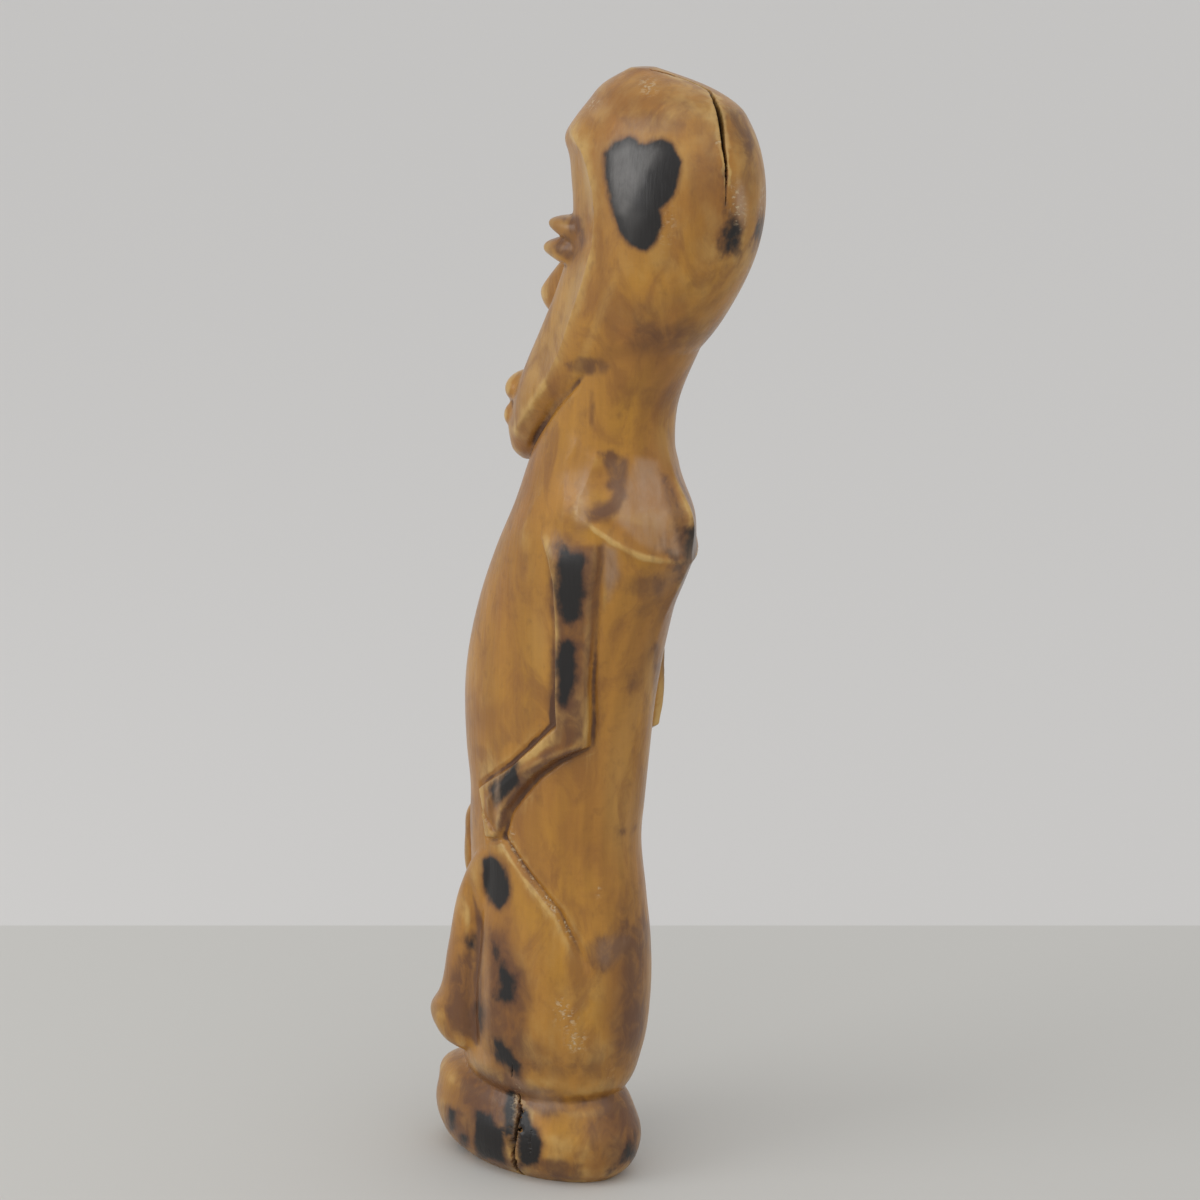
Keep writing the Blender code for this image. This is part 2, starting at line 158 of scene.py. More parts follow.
# The two lips, on the middle line: middle and half sizes
LIPS = [
    ((0.0, -1.8, 157.0), (6.0, 4.6, 3.9)),
    ((0.0, -2.3, 152.0), (5.6, 4.6, 3.8)),
]

# The eyes. Each row of a lid is how far back, lowest, highest and half width, from its tip
EYE_MIDDLE = 6.3
UPPER_LID = [
    (10.2, 190.4, 191.6, 2.2), (11.0, 189.9, 192.0, 3.4), (12.5, 189.0, 192.3, 4.2),
    (15.0, 187.8, 192.6, 4.6), (18.8, 186.2, 193.0, 4.7),
]
LOWER_LID = [
    (8.2, 185.6, 186.4, 1.6), (9.2, 185.0, 187.3, 2.8), (10.9, 184.2, 188.0, 3.6),
    (12.6, 183.5, 188.5, 4.2), (15.0, 182.8, 188.8, 4.5), (18.0, 182.2, 189.0, 4.6),
]
LID_LEVELS = 16
LID_SQUARENESS = 0.65

# Carved lines of one side, seen square from that side: how far back, and how high
ARM_OUTLINE = [
    (11.0, 141.0), (12.8, 131.6), (14.9, 128.0), (15.9, 123.5), (15.8, 118.0), (15.6, 110.6),
    (15.3, 101.0), (15.2, 95.2),
    (10.4, 90.3), (5.1, 85.4), (-1.9, 80.8), (-4.7, 78.9), (-1.9, 69.2), (1.5, 70.0),
    (3.5, 75.9), (6.6, 79.8), (10.5, 84.1), (15.0, 87.9), (20.4, 91.0), (20.9, 95.5),
    (21.4, 103.6), (22.4, 111.2), (24.0, 120.9), (25.5, 128.6), (25.6, 135.0), (24.0, 141.0),
]
YOKE_EDGE = [
    (21.0, 137.0), (24.6, 134.8), (27.2, 132.9), (29.5, 131.5), (32.4, 129.7), (36.0, 128.4),
    (42.0, 127.2),
]
YOKE_FACET = [(29.5, 149.0), (28.9, 141.9), (28.3, 138.3), (27.7, 134.9)]
THIGH_EDGE = [
    (0.6, 71.4), (2.0, 70.2), (5.4, 66.9), (8.3, 64.0), (11.8, 60.8), (15.3, 57.0), (18.1, 51.8),
    (20.2, 47.2), (21.0, 44.0),
]
SHIN_EDGE = [
    (-8.6, 61.5), (-6.9, 57.5), (-5.2, 53.2), (-4.4, 49.5), (-4.4, 45.0), (-5.0, 39.5),
    (-5.4, 32.7), (-5.0, 26.7), (-5.0, 22.0),
]
JAW_EDGE = [
    (22.5, 164.4), (19.8, 162.1), (16.6, 159.4), (12.6, 156.2), (9.1, 153.0), (5.8, 150.0),
    (3.0, 147.2), (1.0, 144.7),
]
SHOULDER_RIDGE = [(24.0, 150.0), (22.4, 145.0), (21.0, 140.0), (21.4, 134.0)]
CHEST_RIDGE = [(20.0, 152.5), (18.2, 148.2), (11.4, 140.4), (7.5, 133.4), (7.0, 126.0)]
FOREARM_RIDGE = [(20.6, 92.2), (13.0, 88.2), (8.0, 84.9), (3.4, 81.0), (-0.6, 77.4), (-0.2, 70.5)]
FACE_EDGE = [
    (13.0, 210.0), (18.6, 207.4), (21.6, 205.4), (23.6, 202.6), (25.6, 198.0), (26.2, 193.5),
    (25.6, 188.4), (22.7, 180.7), (19.3, 173.9), (16.3, 167.7), (13.1, 163.0), (9.8, 158.9),
    (6.2, 155.1), (1.8, 151.2), (-1.6, 147.8),
]

# How far the carving stands out or cuts in, and over what width
ARM_RELIEF = 0.8
ARM_FRONT_RELIEF = 0.4
ARM_SHADOW = 0.45
ARM_SHADOW_MIDDLE = -0.6
ARM_SHADOW_WIDTH = 0.55
ARM_EDGE = 0.7
EDGE_FOOT = -0.3
SIDE_BLEND = (2.0, 5.0)
FRONT_BLEND = (-3.0, 3.0)
ARM_MIDDLE = 18.0
UPPER_ARM = (91.0, 96.0)
ARM_TOP = 134.5
ARM_BLEND = 8.0
ELBOW_RELIEF = 1.7
ELBOW_HEIGHT = 97.0
ELBOW_REACH = 11.0
ARMPIT_DEPTH = 0.6
ARMPIT_MIDDLE = (29.0, 124.5)
ARMPIT_REACH = (3.0, 7.0)
YOKE_RISE = 0.95
YOKE_WIDTH = 1.8
FACET_RISE = 0.35
SHOULDER_KNOB = 0.8
SHOULDER_MIDDLE = (21.8, 136.5)
SHOULDER_REACH = 3.6
THIGH_RELIEF = 0.7
THIGH_EDGE_WIDTH = 0.9
KNEE_BLEND = (-7.0, 1.0)
THIGH_FADE = 12.0
THIGH_RUN_OUT = 9.0
GROOVE_DEPTH = 0.7
GROOVE_WIDTH = 0.7
VALLEY_DEPTH = 0.9
VALLEY_WIDTH = 1.7
SHOULDER_RISE = 0.45
CHEST_RISE = 0.25
FOREARM_RISE = 0.6
RIDGE_WIDTH = 1.3
BROAD_RIDGE = 2.2
JAW_DEPTH = 0.55
JAW_WIDTH = 0.65
FACE_RIDGE = 0.3
FACE_HOLLOW = 0.9
FACE_SLOPE = 2.4
FACE_REACH = (3.0, 10.0)
FACE_END_FADE = 0.06
LINE_END_FADE = 0.2

# Drying cracks: points on the skin, with the crack's half width there
HEAD_CRACK = [
    ((1.5, 28.7, 219.7), 0.12), ((-0.7, 32.9, 218.6), 0.22), ((-1.1, 37.3, 217.4), 0.26),
    ((-1.2, 40.4, 216.3), 0.32), ((0.7, 42.9, 215.2), 0.34), ((2.1, 44.7, 214.2), 0.45),
    ((3.2, 46.3, 212.5), 0.55), ((3.9, 47.3, 210.8), 0.5), ((5.0, 48.7, 207.0), 0.36),
    ((5.2, 49.5, 203.9), 0.26), ((5.6, 49.8, 200.7), 0.17), ((5.8, 49.8, 196.7), 0.06),
]
BASE_CRACK = [
    ((11.8, 4.6, 17.4), 0.14), ((12.3, 4.5, 15.0), 0.22), ((12.7, 5.3, 13.8), 0.32),
    ((13.4, 5.1, 11.9), 0.36), ((14.1, 5.2, 8.1), 0.34), ((13.5, 4.4, 4.3), 0.38),
    ((12.4, 4.2, 0.6), 0.4), ((10.6, 4.1, -1.0), 0.4),
]
HIP_CRACK = [((15.1, 5.9, 24.4), 0.05), ((14.8, 5.4, 23.0), 0.2), ((14.3, 4.9, 21.4), 0.1)]
FINE_CRACK = [((13.1, 8.6, 10.6), 0.05), ((13.3, 8.6, 8.0), 0.12), ((13.0, 8.5, 5.4), 0.05)]
CRACK_DEPTH = 2.6
CRACKS = [
    (HEAD_CRACK, CRACK_DEPTH), (BASE_CRACK, CRACK_DEPTH), (HIP_CRACK, CRACK_DEPTH / 2),
    (FINE_CRACK, CRACK_DEPTH / 3),
]

# How far beside a crack the skin is split finely, in how many short steps each stretch is laid
# on it, the half width from which a crack has its full depth, and the least share of that depth
CRACK_REACH = 1.5
CRACK_STEPS = 5
FULL_CRACK_WIDTH = 0.3
LEAST_CRACK_DEPTH = 0.3

# Where the walls of a crack and its painted dark shade start and end, in its half widths
CRACK_WALLS = (0.35, 1.1)
CRACK_DARK = (0.6, 1.3)

# The picture's camera: picture width and focal length in its pixels, places in metres
PICTURE_SIDE = 1200.0
FOCAL_LENGTH = 3440.0
SENSOR_WIDTH = 36.0
CAMERA_TURN = math.radians(40.0)
CAMERA_DIP = math.radians(13.0)
CAMERA_REACH = 0.6547
CAMERA_HEIGHT = 0.26677
CAMERA_ASIDE = 0.0118
CAMERA_START = 0.01
TOWARDS_CAMERA = (math.cos(CAMERA_TURN), math.sin(CAMERA_TURN), 0.0)

# The stage, in metres: each lamp is so far to the picture's right, so high, and so near
FLOOR_SIZE = 24.0
WALL_LINE = -0.147
WALL_BLUR = 0.0008
STAGE_ROUGHNESS = 0.85
STAGE_SPECULAR = 0.2
FIGURE_MIDDLE = (0.0, 0.0, 0.11)
SUN_PLACE = (0.1, 1.2, 0.75)
SUN_SPREAD = math.radians(80.0)
WINDOW_PLACE = (-0.75, 0.4, 0.35)
WINDOW_SIZE = 0.5

# Burnt marks, as outlines in the picture's pixels
EAR_BURN = [
    (605, 154), (614, 143), (630, 136), (639, 143), (646, 143), (660, 139), (671, 144), (681, 162),
    (679, 180), (674, 194), (659, 210), (662, 225), (654, 243), (646, 250), (632, 246), (619, 233),
    (614, 211), (607, 187),
]
UPPER_ARM_BURN = [
    (558, 549), (563, 543), (572, 551), (583, 556), (586, 575), (585, 600), (579, 618), (570, 625),
    (561, 618), (557, 600), (556, 570),
]
LOWER_ARM_BURN = [
    (560, 643), (568, 640), (576, 646), (577, 665), (574, 690), (566, 706), (560, 707), (557, 690),
    (556, 660),
]
FOREARM_BURN = [(516, 763), (489, 788), (495, 807), (520, 784)]
KNEE_BURN = [
    (483, 860), (490, 857), (498, 859), (504, 869), (508, 881), (510, 893), (507, 903), (500, 909),
    (492, 902), (485, 890), (482, 874),
]
BASE_BURNS = [
    [(449, 1107), (455, 1112), (455, 1128), (451, 1130), (448, 1120)],
    [
        (475, 1108), (480, 1113), (489, 1112), (493, 1124), (502, 1129), (504, 1150), (508, 1166),
        (478, 1156), (474, 1140),
    ],
    [(506, 1091), (515, 1089), (515, 1110), (513, 1141), (504, 1136), (503, 1110)],
    [(520, 1112), (527, 1108), (531, 1122), (537, 1132), (542, 1145), (538, 1162), (519, 1168)],
    [(461, 1134), (467, 1137), (468, 1147), (462, 1144)],
]
HIP_BURNS = [
    [
        (493, 940), (498, 950), (505, 970), (516, 976), (516, 1000), (497, 1003), (493, 998),
        (500, 985),
    ],
    [(492, 1037), (501, 1042), (512, 1052), (522, 1066), (518, 1077), (506, 1068), (495, 1056)],
    [(478, 1002), (481, 1004), (484, 1025), (480, 1034), (477, 1020)],
    [(466, 940), (475, 938), (477, 950), (468, 951)],
]

# The burnt marks, each with the number of pixels over which its edge blurs
BURNS = [
    (EAR_BURN, 4.0), (UPPER_ARM_BURN, 9.0), (LOWER_ARM_BURN, 7.0), (FOREARM_BURN, 5.0),
    (KNEE_BURN, 5.0),
]
BURNS += [(outline, 5.0) for outline in BASE_BURNS]
BURNS += [(outline, 8.0) for outline in HIP_BURNS]

# How many blurs in or out a burn's depth is kept, and how far a burnt point may turn away from
# the camera and lie past the figure's middle
BURN_RANGE = 6.0
BURN_FACING = -0.1
BURN_SIDE = -2.0

# Stained patches, some of them painted shade, patches of pale bloom and painted highlights, and
# patches of painted grey reflection on the char: name, strength, blur and outline in the picture's
# pixels
PATCHES = [
    # Painted reflection: the grey sheen of the light on the glossy burnt ear.
    ("painted_sheen", 0.9, 5.0, [
        (611, 152), (628, 142), (640, 147), (652, 146), (657, 150), (646, 171), (640, 187),
        (633, 202), (626, 216), (618, 214), (613, 200), (610, 175),
    ]),
    ("painted_sheen", 0.35, 9.0, [(622, 214), (634, 206), (640, 216), (632, 232), (622, 226)]),
    ("stain_and_painted_shade", 0.9, 5.0, [
        (597, 452), (612, 450), (628, 460), (630, 475), (627, 497), (617, 515), (606, 524),
        (588, 521), (583, 511), (600, 509), (610, 501), (612, 492), (604, 487), (610, 477),
    ]),
    ("bloom_and_painted_highlight", 0.2, 7.0, [(608, 462), (626, 460), (632, 480), (628, 500), (618, 510), (612, 490)]),
    ("stain_and_painted_shade", 0.8, 5.0, [
        (658, 470), (668, 476), (680, 500), (688, 520), (686, 540), (680, 551), (672, 525),
        (664, 497),
    ]),
    # Painted highlight: the soft light reflected on the upper back facet.
    ("bloom_and_painted_highlight", 0.7, 5.0, [
        (637, 458), (657, 462), (664, 490), (673, 525), (680, 550), (656, 551), (640, 542),
        (626, 529), (616, 522), (626, 490),
    ]),
    ("ruddy", 0.6, 4.0, [
        (557, 556), (575, 545), (604, 545), (600, 600), (594, 650), (588, 700), (583, 742),
        (560, 756), (540, 770), (520, 775), (512, 800), (503, 812), (497, 800), (520, 768),
        (552, 743), (558, 700),
    ]),
    ("ruddy", 0.6, 9.0, [
        (444, 1092), (470, 1076), (505, 1086), (510, 1120), (500, 1160), (470, 1150), (450, 1130),
    ]),
    ("ruddy", 0.6, 10.0, [
        (486, 925), (505, 930), (520, 960), (530, 1000), (520, 1045), (490, 1040), (484, 980),
    ]),
    ("ruddy", 0.55, 12.0, [(606, 965), (640, 950), (644, 1040), (620, 1062), (598, 1020)]),
    ("ruddy", 0.5, 10.0, [(600, 1110), (636, 1105), (638, 1140), (620, 1165), (590, 1172)]),
    ("stain_and_painted_shade", 0.6, 4.0, [
        (560, 546), (603, 545), (599, 600), (593, 650), (588, 700), (582, 738), (576, 740),
        (578, 706), (557, 706), (557, 560),
    ]),
    ("stain_and_painted_shade", 0.5, 5.0, [(604, 546), (617, 550), (619, 575), (608, 604), (603, 580)]),
    ("bloom_and_painted_highlight", 0.6, 5.0, [(605, 545), (617, 550), (619, 575), (609, 600), (604, 580)]),
    ("stain_and_painted_shade", 0.4, 6.0, [
        (612, 568), (640, 577), (668, 573), (664, 590), (640, 598), (615, 592),
    ]),
    # Painted shade: the dark shadow line under the forearm's lower facet.
    ("stain_and_painted_shade", 0.95, 3.0, [
        (581, 745), (540, 763), (520, 773), (514, 790), (503, 806), (494, 830), (503, 834),
        (513, 811), (534, 784), (558, 763), (582, 753),
    ]),
    ("stain_and_painted_shade", 0.7, 5.0, [(484, 790), (494, 806), (497, 832), (505, 850), (495, 846), (488, 815)]),
    ("stain_and_painted_shade", 0.75, 5.0, [
        (565, 363), (580, 356), (600, 358), (612, 366), (606, 374), (586, 376), (570, 371),
    ]),
    ("stain_and_painted_shade", 0.5, 3.0, [(588, 390), (594, 388), (596, 410), (593, 432), (589, 430), (590, 410)]),
    ("stain_and_painted_shade", 0.5, 7.0, [
        (632, 310), (645, 300), (660, 312), (668, 330), (660, 350), (640, 355), (628, 340),
    ]),
    ("stain_and_painted_shade", 0.45, 7.0, [(665, 325), (690, 318), (712, 322), (700, 340), (680, 352), (665, 348)]),
    ("stain_and_painted_shade", 0.5, 6.0, [
        (620, 118), (640, 108), (665, 112), (685, 125), (672, 135), (645, 130), (628, 132),
    ]),
    ("stain_and_painted_shade", 0.55, 7.0, [(724, 105), (740, 115), (752, 140), (745, 152), (733, 138), (724, 120)]),
    ("stain_and_painted_shade", 0.95, 6.0, [
        (458, 958), (470, 955), (477, 965), (478, 1000), (477, 1042), (466, 1040), (452, 1030),
        (448, 1012), (453, 985),
    ]),
    ("stain_and_painted_shade", 0.9, 3.0, [
        (473, 895), (480, 912), (485, 930), (483, 960), (481, 1000), (481, 1046), (475, 1046),
        (474, 1000), (475, 960), (477, 930),
    ]),
    ("stain_and_painted_shade", 0.55, 8.0, [
        (486, 925), (505, 930), (515, 950), (530, 975), (534, 1000), (528, 1020), (522, 1048),
        (500, 1040), (486, 1030), (483, 1000), (488, 960),
    ]),
    ("stain_and_painted_shade", 0.85, 6.0, [
        (585, 945), (598, 935), (615, 935), (632, 922), (640, 925), (636, 945), (622, 955),
        (612, 970), (598, 975), (588, 962),
    ]),
    ("stain_and_painted_shade", 0.75, 4.0, [(653, 640), (662, 648), (665, 700), (660, 742), (653, 742)]),
    ("stain_and_painted_shade", 0.7, 6.0, [
        (557, 700), (580, 700), (582, 742), (560, 752), (545, 762), (538, 757), (552, 742),
    ]),
    ("bloom_and_painted_highlight", 0.3, 7.0, [(595, 942), (615, 936), (628, 938), (618, 958), (605, 968), (594, 958)]),
    ("stain_and_painted_shade", 0.5, 7.0, [(615, 1015), (640, 1005), (645, 1030), (632, 1050), (612, 1045)]),
    ("stain_and_painted_shade", 0.75, 6.0, [
        (505, 1074), (530, 1085), (562, 1096), (567, 1110), (545, 1118), (525, 1105), (510, 1094),
    ]),
    ("bloom_and_painted_highlight", 0.5, 7.0, [(510, 1076), (532, 1087), (560, 1097), (562, 1108), (540, 1112)]),
    ("stain_and_painted_shade", 0.85, 5.0, [
        (604, 1100), (625, 1092), (638, 1105), (641, 1132), (620, 1128), (608, 1115),
    ]),
    ("stain_and_painted_shade", 0.8, 5.0, [
        (540, 1158), (560, 1160), (582, 1165), (580, 1182), (556, 1182), (540, 1176),
    ]),
    ("stain_and_painted_shade", 0.6, 7.0, [
        (462, 1080), (480, 1074), (502, 1082), (508, 1100), (503, 1128), (480, 1110), (464, 1104),
    ]),
    ("stain_and_painted_shade", 0.7, 6.0, [
        (443, 1105), (460, 1110), (470, 1125), (472, 1150), (456, 1142), (446, 1125),
    ]),
    ("stain_and_painted_shade", 0.7, 5.0, [
        (490, 1150), (515, 1160), (540, 1164), (538, 1178), (510, 1170), (490, 1162),
    ]),
    # Painted shade: the eyelids' faces that turn down and away from the light.
    ("stain_and_painted_shade", 0.75, 4.0, [
        (561, 217), (583, 214), (586, 242), (574, 264), (556, 254), (552, 246), (562, 236),
        (566, 228),
    ]),
]

# Soft marks seen by the picture's camera: middle, half width and half height in its pixels,
# turn in degrees, and strength
SMOKE_MARKS = [
    (731, 236, 14, 24, 12, 0.85), (760, 228, 4, 20, 0, 0.8), (692, 545, 8, 24, 8, 0.95),
    (681, 598, 5, 42, 15, 0.55), (478, 975, 4, 60, 0, 0.3), (505, 812, 10, 12, 0, 0.35),
    (633, 1152, 8, 20, 0, 0.75), (519, 1062, 20, 10, 35, 0.4), (724, 190, 5, 26, 0, 0.3),
    (603, 556, 3, 16, 0, 0.35),
]
# Soft stains; the mark under the belly beside the knee is painted shade.
STAIN_AND_SHADE_MARKS = [
    (600, 1135, 44, 40, 0, 0.5), (478, 1110, 30, 40, 0, 0.6), (634, 1000, 18, 70, 0, 0.5),
    (500, 985, 22, 80, 0, 0.35), (452, 1000, 18, 50, 8, 0.5), (700, 150, 16, 60, 0, 0.25),
    (676, 600, 10, 60, 14, 0.3), (640, 880, 14, 60, 0, 0.3), (560, 1070, 60, 14, 6, 0.3),
    (740, 190, 12, 60, 0, 0.3), (470, 720, 8, 60, 0, 0.2),
    (602, 508, 20, 10, 0, 0.4), (650, 395, 34, 16, 0, 0.3), (660, 345, 34, 26, -35, 0.25),
    (655, 590, 26, 26, 0, 0.25), (500, 744, 26, 14, -38, 0.35), (530, 716, 22, 12, -20, 0.3),
    (480, 690, 8, 70, 3, 0.2), (642, 930, 8, 45, 0, 0.55), (565, 985, 30, 20, 0, 0.3),
    (585, 1062, 40, 16, 0, 0.4), (526, 1052, 24, 16, 0, 0.5), (460, 1000, 12, 44, 8, 0.3),
    (480, 1070, 30, 10, 10, 0.4), (628, 1120, 14, 34, 0, 0.4), (596, 1102, 34, 7, 0, 0.5),
    (555, 1112, 18, 14, 0, 0.35), (676, 104, 36, 12, 10, 0.35), (715, 165, 9, 40, 0, 0.35),
    (690, 200, 9, 40, 0, 0.2), (745, 150, 9, 50, -8, 0.35), (640, 640, 20, 50, 0, 0.15),
    (470, 830, 8, 30, 0, 0.5), (500, 1090, 20, 14, 0, 0.3), (509, 561, 6, 3, 20, 0.6),
    (512, 598, 7, 3, -40, 0.55), (622, 832, 6, 4, -30, 0.7), (618, 628, 6, 4, -40, 0.35),
    (608, 1140, 12, 26, 0, 0.3), (455, 870, 5, 40, 12, 0.2), (540, 1090, 60, 6, 12, 0.3),
]
GOLD_MARKS = [
    (530, 920, 24, 36, -10, 0.9), (560, 965, 24, 30, 0, 0.7), (596, 1005, 26, 32, 0, 0.7),
    (635, 425, 26, 30, 0, 0.8), (560, 430, 16, 30, 15, 0.6), (520, 650, 28, 50, 0, 0.4),
    (520, 690, 24, 30, 0, 0.5), (572, 850, 26, 70, 0, 0.7), (566, 1135, 18, 24, 0, 0.9),
    (454, 1094, 9, 18, 0, 0.8), (598, 499, 12, 10, 0, 1.0), (600, 120, 24, 26, 30, 0.5),
    (650, 290, 40, 40, 0, 0.6), (700, 250, 16, 50, 0, 0.7), (592, 330, 14, 60, 18, 0.6),
    (540, 560, 26, 40, 0, 0.5), (700, 110, 14, 10, 0, 0.5), (462, 905, 10, 40, 8, 0.5),
    (441, 1015, 7, 18, 0, 0.9), (610, 1155, 14, 14, 0, 0.5), (566, 730, 8, 18, 0, 0.9),
    (570, 634, 12, 7, 0, 0.7), (536, 755, 7, 6, 0, 0.9), (590, 533, 26, 9, 15, 0.8),
    (640, 560, 34, 7, 22, 0.8), (586, 195, 5, 60, 0, 0.6), (640, 790, 5, 60, 0, 0.5),
]
# Painted highlights: lighter strips where light falls on the face's edge, ridges and left sides.
PAINTED_HIGHLIGHT_MARKS = [
    (568, 190, 10, 38, 4, 0.8), (572, 290, 12, 36, 18, 0.7), (546, 350, 16, 44, 26, 0.75),
    (588, 180, 4, 40, -6, 1.0), (525, 420, 12, 20, 0, 0.35), (583, 205, 4, 30, 0, 0.6),
    (540, 640, 10, 40, 0, 0.25), (665, 440, 8, 30, 0, 0.3), (620, 800, 16, 60, 0, 0.35),
    (590, 730, 10, 40, 0, 0.15), (650, 700, 6, 60, 0, 0.4), (596, 325, 5, 60, 22, 0.4),
]
# Partly pale bloom of the wood, partly painted highlights and reflections of the light.
BLOOM_AND_PAINTED_HIGHLIGHT_MARKS = [
    (741, 203, 6, 20, -6, 0.9), (583, 500, 7, 28, 4, 0.5), (486, 990, 4, 60, 0, 0.35),
    (650, 126, 30, 10, 0, 0.3), (497, 800, 3, 30, 0, 0.5), (480, 1060, 10, 8, 0, 0.5),
    (688, 575, 4, 60, 14, 0.5), (675, 552, 6, 4, 0, 0.7), (597, 108, 12, 14, -30, 0.3),
    (579, 519, 5, 4, 0, 0.6),
]
# Painted reflection: more of the grey sheen of the light on burnt wood.
PAINTED_SHEEN_MARKS = [(655, 156, 12, 9, -50, 0.3), (628, 238, 8, 5, 0, 0.15)]
RUDDY_MARKS = [
    (620, 100, 40, 14, 0, 0.5), (600, 180, 12, 50, 0, 0.3), (640, 350, 50, 16, -20, 0.4),
    (480, 720, 30, 16, -20, 0.5), (650, 620, 16, 60, 12, 0.3), (552, 230, 16, 24, 0, 0.6),
]
CHIP_MARKS = [
    (576, 1042, 9, 9, 0, 1.0), (566, 1018, 10, 9, 30, 0.8), (560, 1005, 8, 6, 0, 0.6),
    (648, 86, 8, 8, 0, 0.8), (593, 104, 6, 4, -25, 0.8), (738, 205, 7, 20, -8, 0.9),
    (668, 228, 7, 20, 10, 0.3), (518, 858, 3, 12, -30, 0.8), (535, 884, 3, 14, -34, 0.9),
    (550, 903, 3, 16, -36, 1.0), (564, 924, 3, 16, -34, 1.0), (599, 892, 3, 3, 0, 0.8),
    (718, 142, 3, 3, 0, 0.8), (610, 1075, 3, 3, 0, 0.7), (516, 1096, 2, 12, 10, 0.7),
    (516, 1120, 2, 40, 2, 0.3), (512, 838, 3, 10, 0, 0.7),
]

# The masks that the figure keeps: name, soft marks, and strength on the side that isn't seen.
# Some are painted light and shade: the sheen, the pale marks, and parts of the bloom and stains.
MASKS = [
    ("smoke", SMOKE_MARKS, 0.7), ("stain_and_painted_shade", STAIN_AND_SHADE_MARKS, 0.8), ("gold", GOLD_MARKS, 0.9),
    ("bloom_and_painted_highlight", BLOOM_AND_PAINTED_HIGHLIGHT_MARKS, 0.5), ("painted_sheen", PAINTED_SHEEN_MARKS, 0.8), ("pale", PAINTED_HIGHLIGHT_MARKS, 0.6),
    ("ruddy", RUDDY_MARKS, 0.6), ("chips", CHIP_MARKS, 0.4),
]

# Marks fade where the skin turns away from the camera and past the figure's middle, between
# these values, and the edge of a soft mark is this steep
MARK_FACING = (-0.3, 0.1)
MARK_SIDE = (-9.0, -2.0)
MARK_STEEPNESS = 1.3

# Wear is found by smoothing the skin for a number of rounds. How far it lies under or over the
# smoothed one, in parts, gives full darkening of hollows, partly dirt and partly painted shade, or
# full rubbing, less what stays clean.
FINE_ROUNDS = 8
BROAD_ROUNDS = 60
LAST_ROUNDS = 3
FINE_HOLLOW = 0.22
BROAD_HOLLOW = 2.0
CLEAN_HOLLOW = 0.24
FINE_PROUD = 0.12
BROAD_PROUD = 4.5
CLEAN_PROUD = 0.16

# Noises of the finish: spots to a metre along each axis, detail, roughness and distortion
FINE_STREAKS = ((900.0, 900.0, 45.0), 3.0, 0.55, 0.0)
BROAD_STREAKS = ((170.0, 170.0, 13.0), 3.0, 0.5, 0.6)
FLECKS = ((420.0, 420.0, 2300.0), 2.0, 0.55, 0.0)
CHARRING = ((420.0, 420.0, 300.0), 3.0, 0.55, 0.0)
UNEVENNESS = ((260.0, 260.0, 160.0), 3.0, 0.55, 0.0)
SPECKS = ((900.0, 900.0, 1300.0), 2.0, 0.55, 0.0)
SCRATCHES = ((2600.0, 2600.0, 240.0), 1.0, 0.55, 0.0)
CLOUDS = ((62.0, 62.0, 32.0), 4.0, 0.55, 0.6)
MOTTLING = ((120.0, 120.0, 70.0), 5.0, 0.6, 1.0)
BLOTS = ((260.0, 260.0, 170.0), 4.0, 0.6, 0.8)
# Streaks of the painted highlights, as of light reflected along a facet.
HIGHLIGHT_STREAKS = ((380.0, 380.0, 90.0), 3.0, 0.6, 0.5)

# Rises of the finish: where each starts and ends, and what it gives there if not 0 and 1
RISES = {
    "ragged edge": (0.25, 0.75, -0.35, 0.35),
    "char": (-0.5, 0.55),
    "browned edge": (-1.6, 0.3),
    "drifting smoke": (0.2, 0.8, -0.3, 0.3),
    "smoke char": (0.35, 1.0),
    "smoke haze": (0.05, 0.7),
    "uneven wear": (0.3, 0.7, 0.55, 1.15),
    "dirt_and_painted_shade": (0.1, 0.95),
    "rubbing": (0.15, 1.0),
    "sprinkled chips": (0.5, 0.66),
    "clouds": (0.3, 0.62),
    "golden clouds": (0.25, 0.7),
    "ruddy clouds": (0.44, 0.7, 0.0, 0.6),
    "uneven stain": (0.3, 0.7, 0.62, 1.3),
    "stain_and_painted_shade": (0.05, 1.05, 0.0),
    "uneven sheen": (0.25, 0.75, 0.6, 1.05),
    "uneven bloom": (0.25, 0.75, 0.35, 0.9),
    "scratched polish": (0.35, 0.7, -0.05, 0.06),
}

# Grain patterns: name, where each starts and ends, and how far it darkens and lightens the wood
GRAIN_TONES = [
    ("Broad streaks", 0.3, 0.7, 0.05), ("Fine streaks", 0.3, 0.7, 0.03),
    ("Rings", 0.0, 1.0, 0.04), ("Flecks", 0.3, 0.7, 0.015),
]
# Share of the rubbed colour that the painted highlights lay on the wood
PAINTED_HIGHLIGHT_SHARE = 0.7
BROWNED_SHARE = 0.75

# The polish, and the fine relief: its height in metres, and the share of each pattern in it
DULL_ROUGHNESS = 0.62
COAT_WEIGHT = 0.15
COAT_ROUGHNESS = 0.2
SPECULAR_LEVEL = 0.36
RELIEF_HEIGHT = 0.0003
RELIEF_STRENGTH = 0.5
FINE_RELIEF = 0.35
SCRATCH_RELIEF = 0.12
CHIP_RELIEF = 1.2


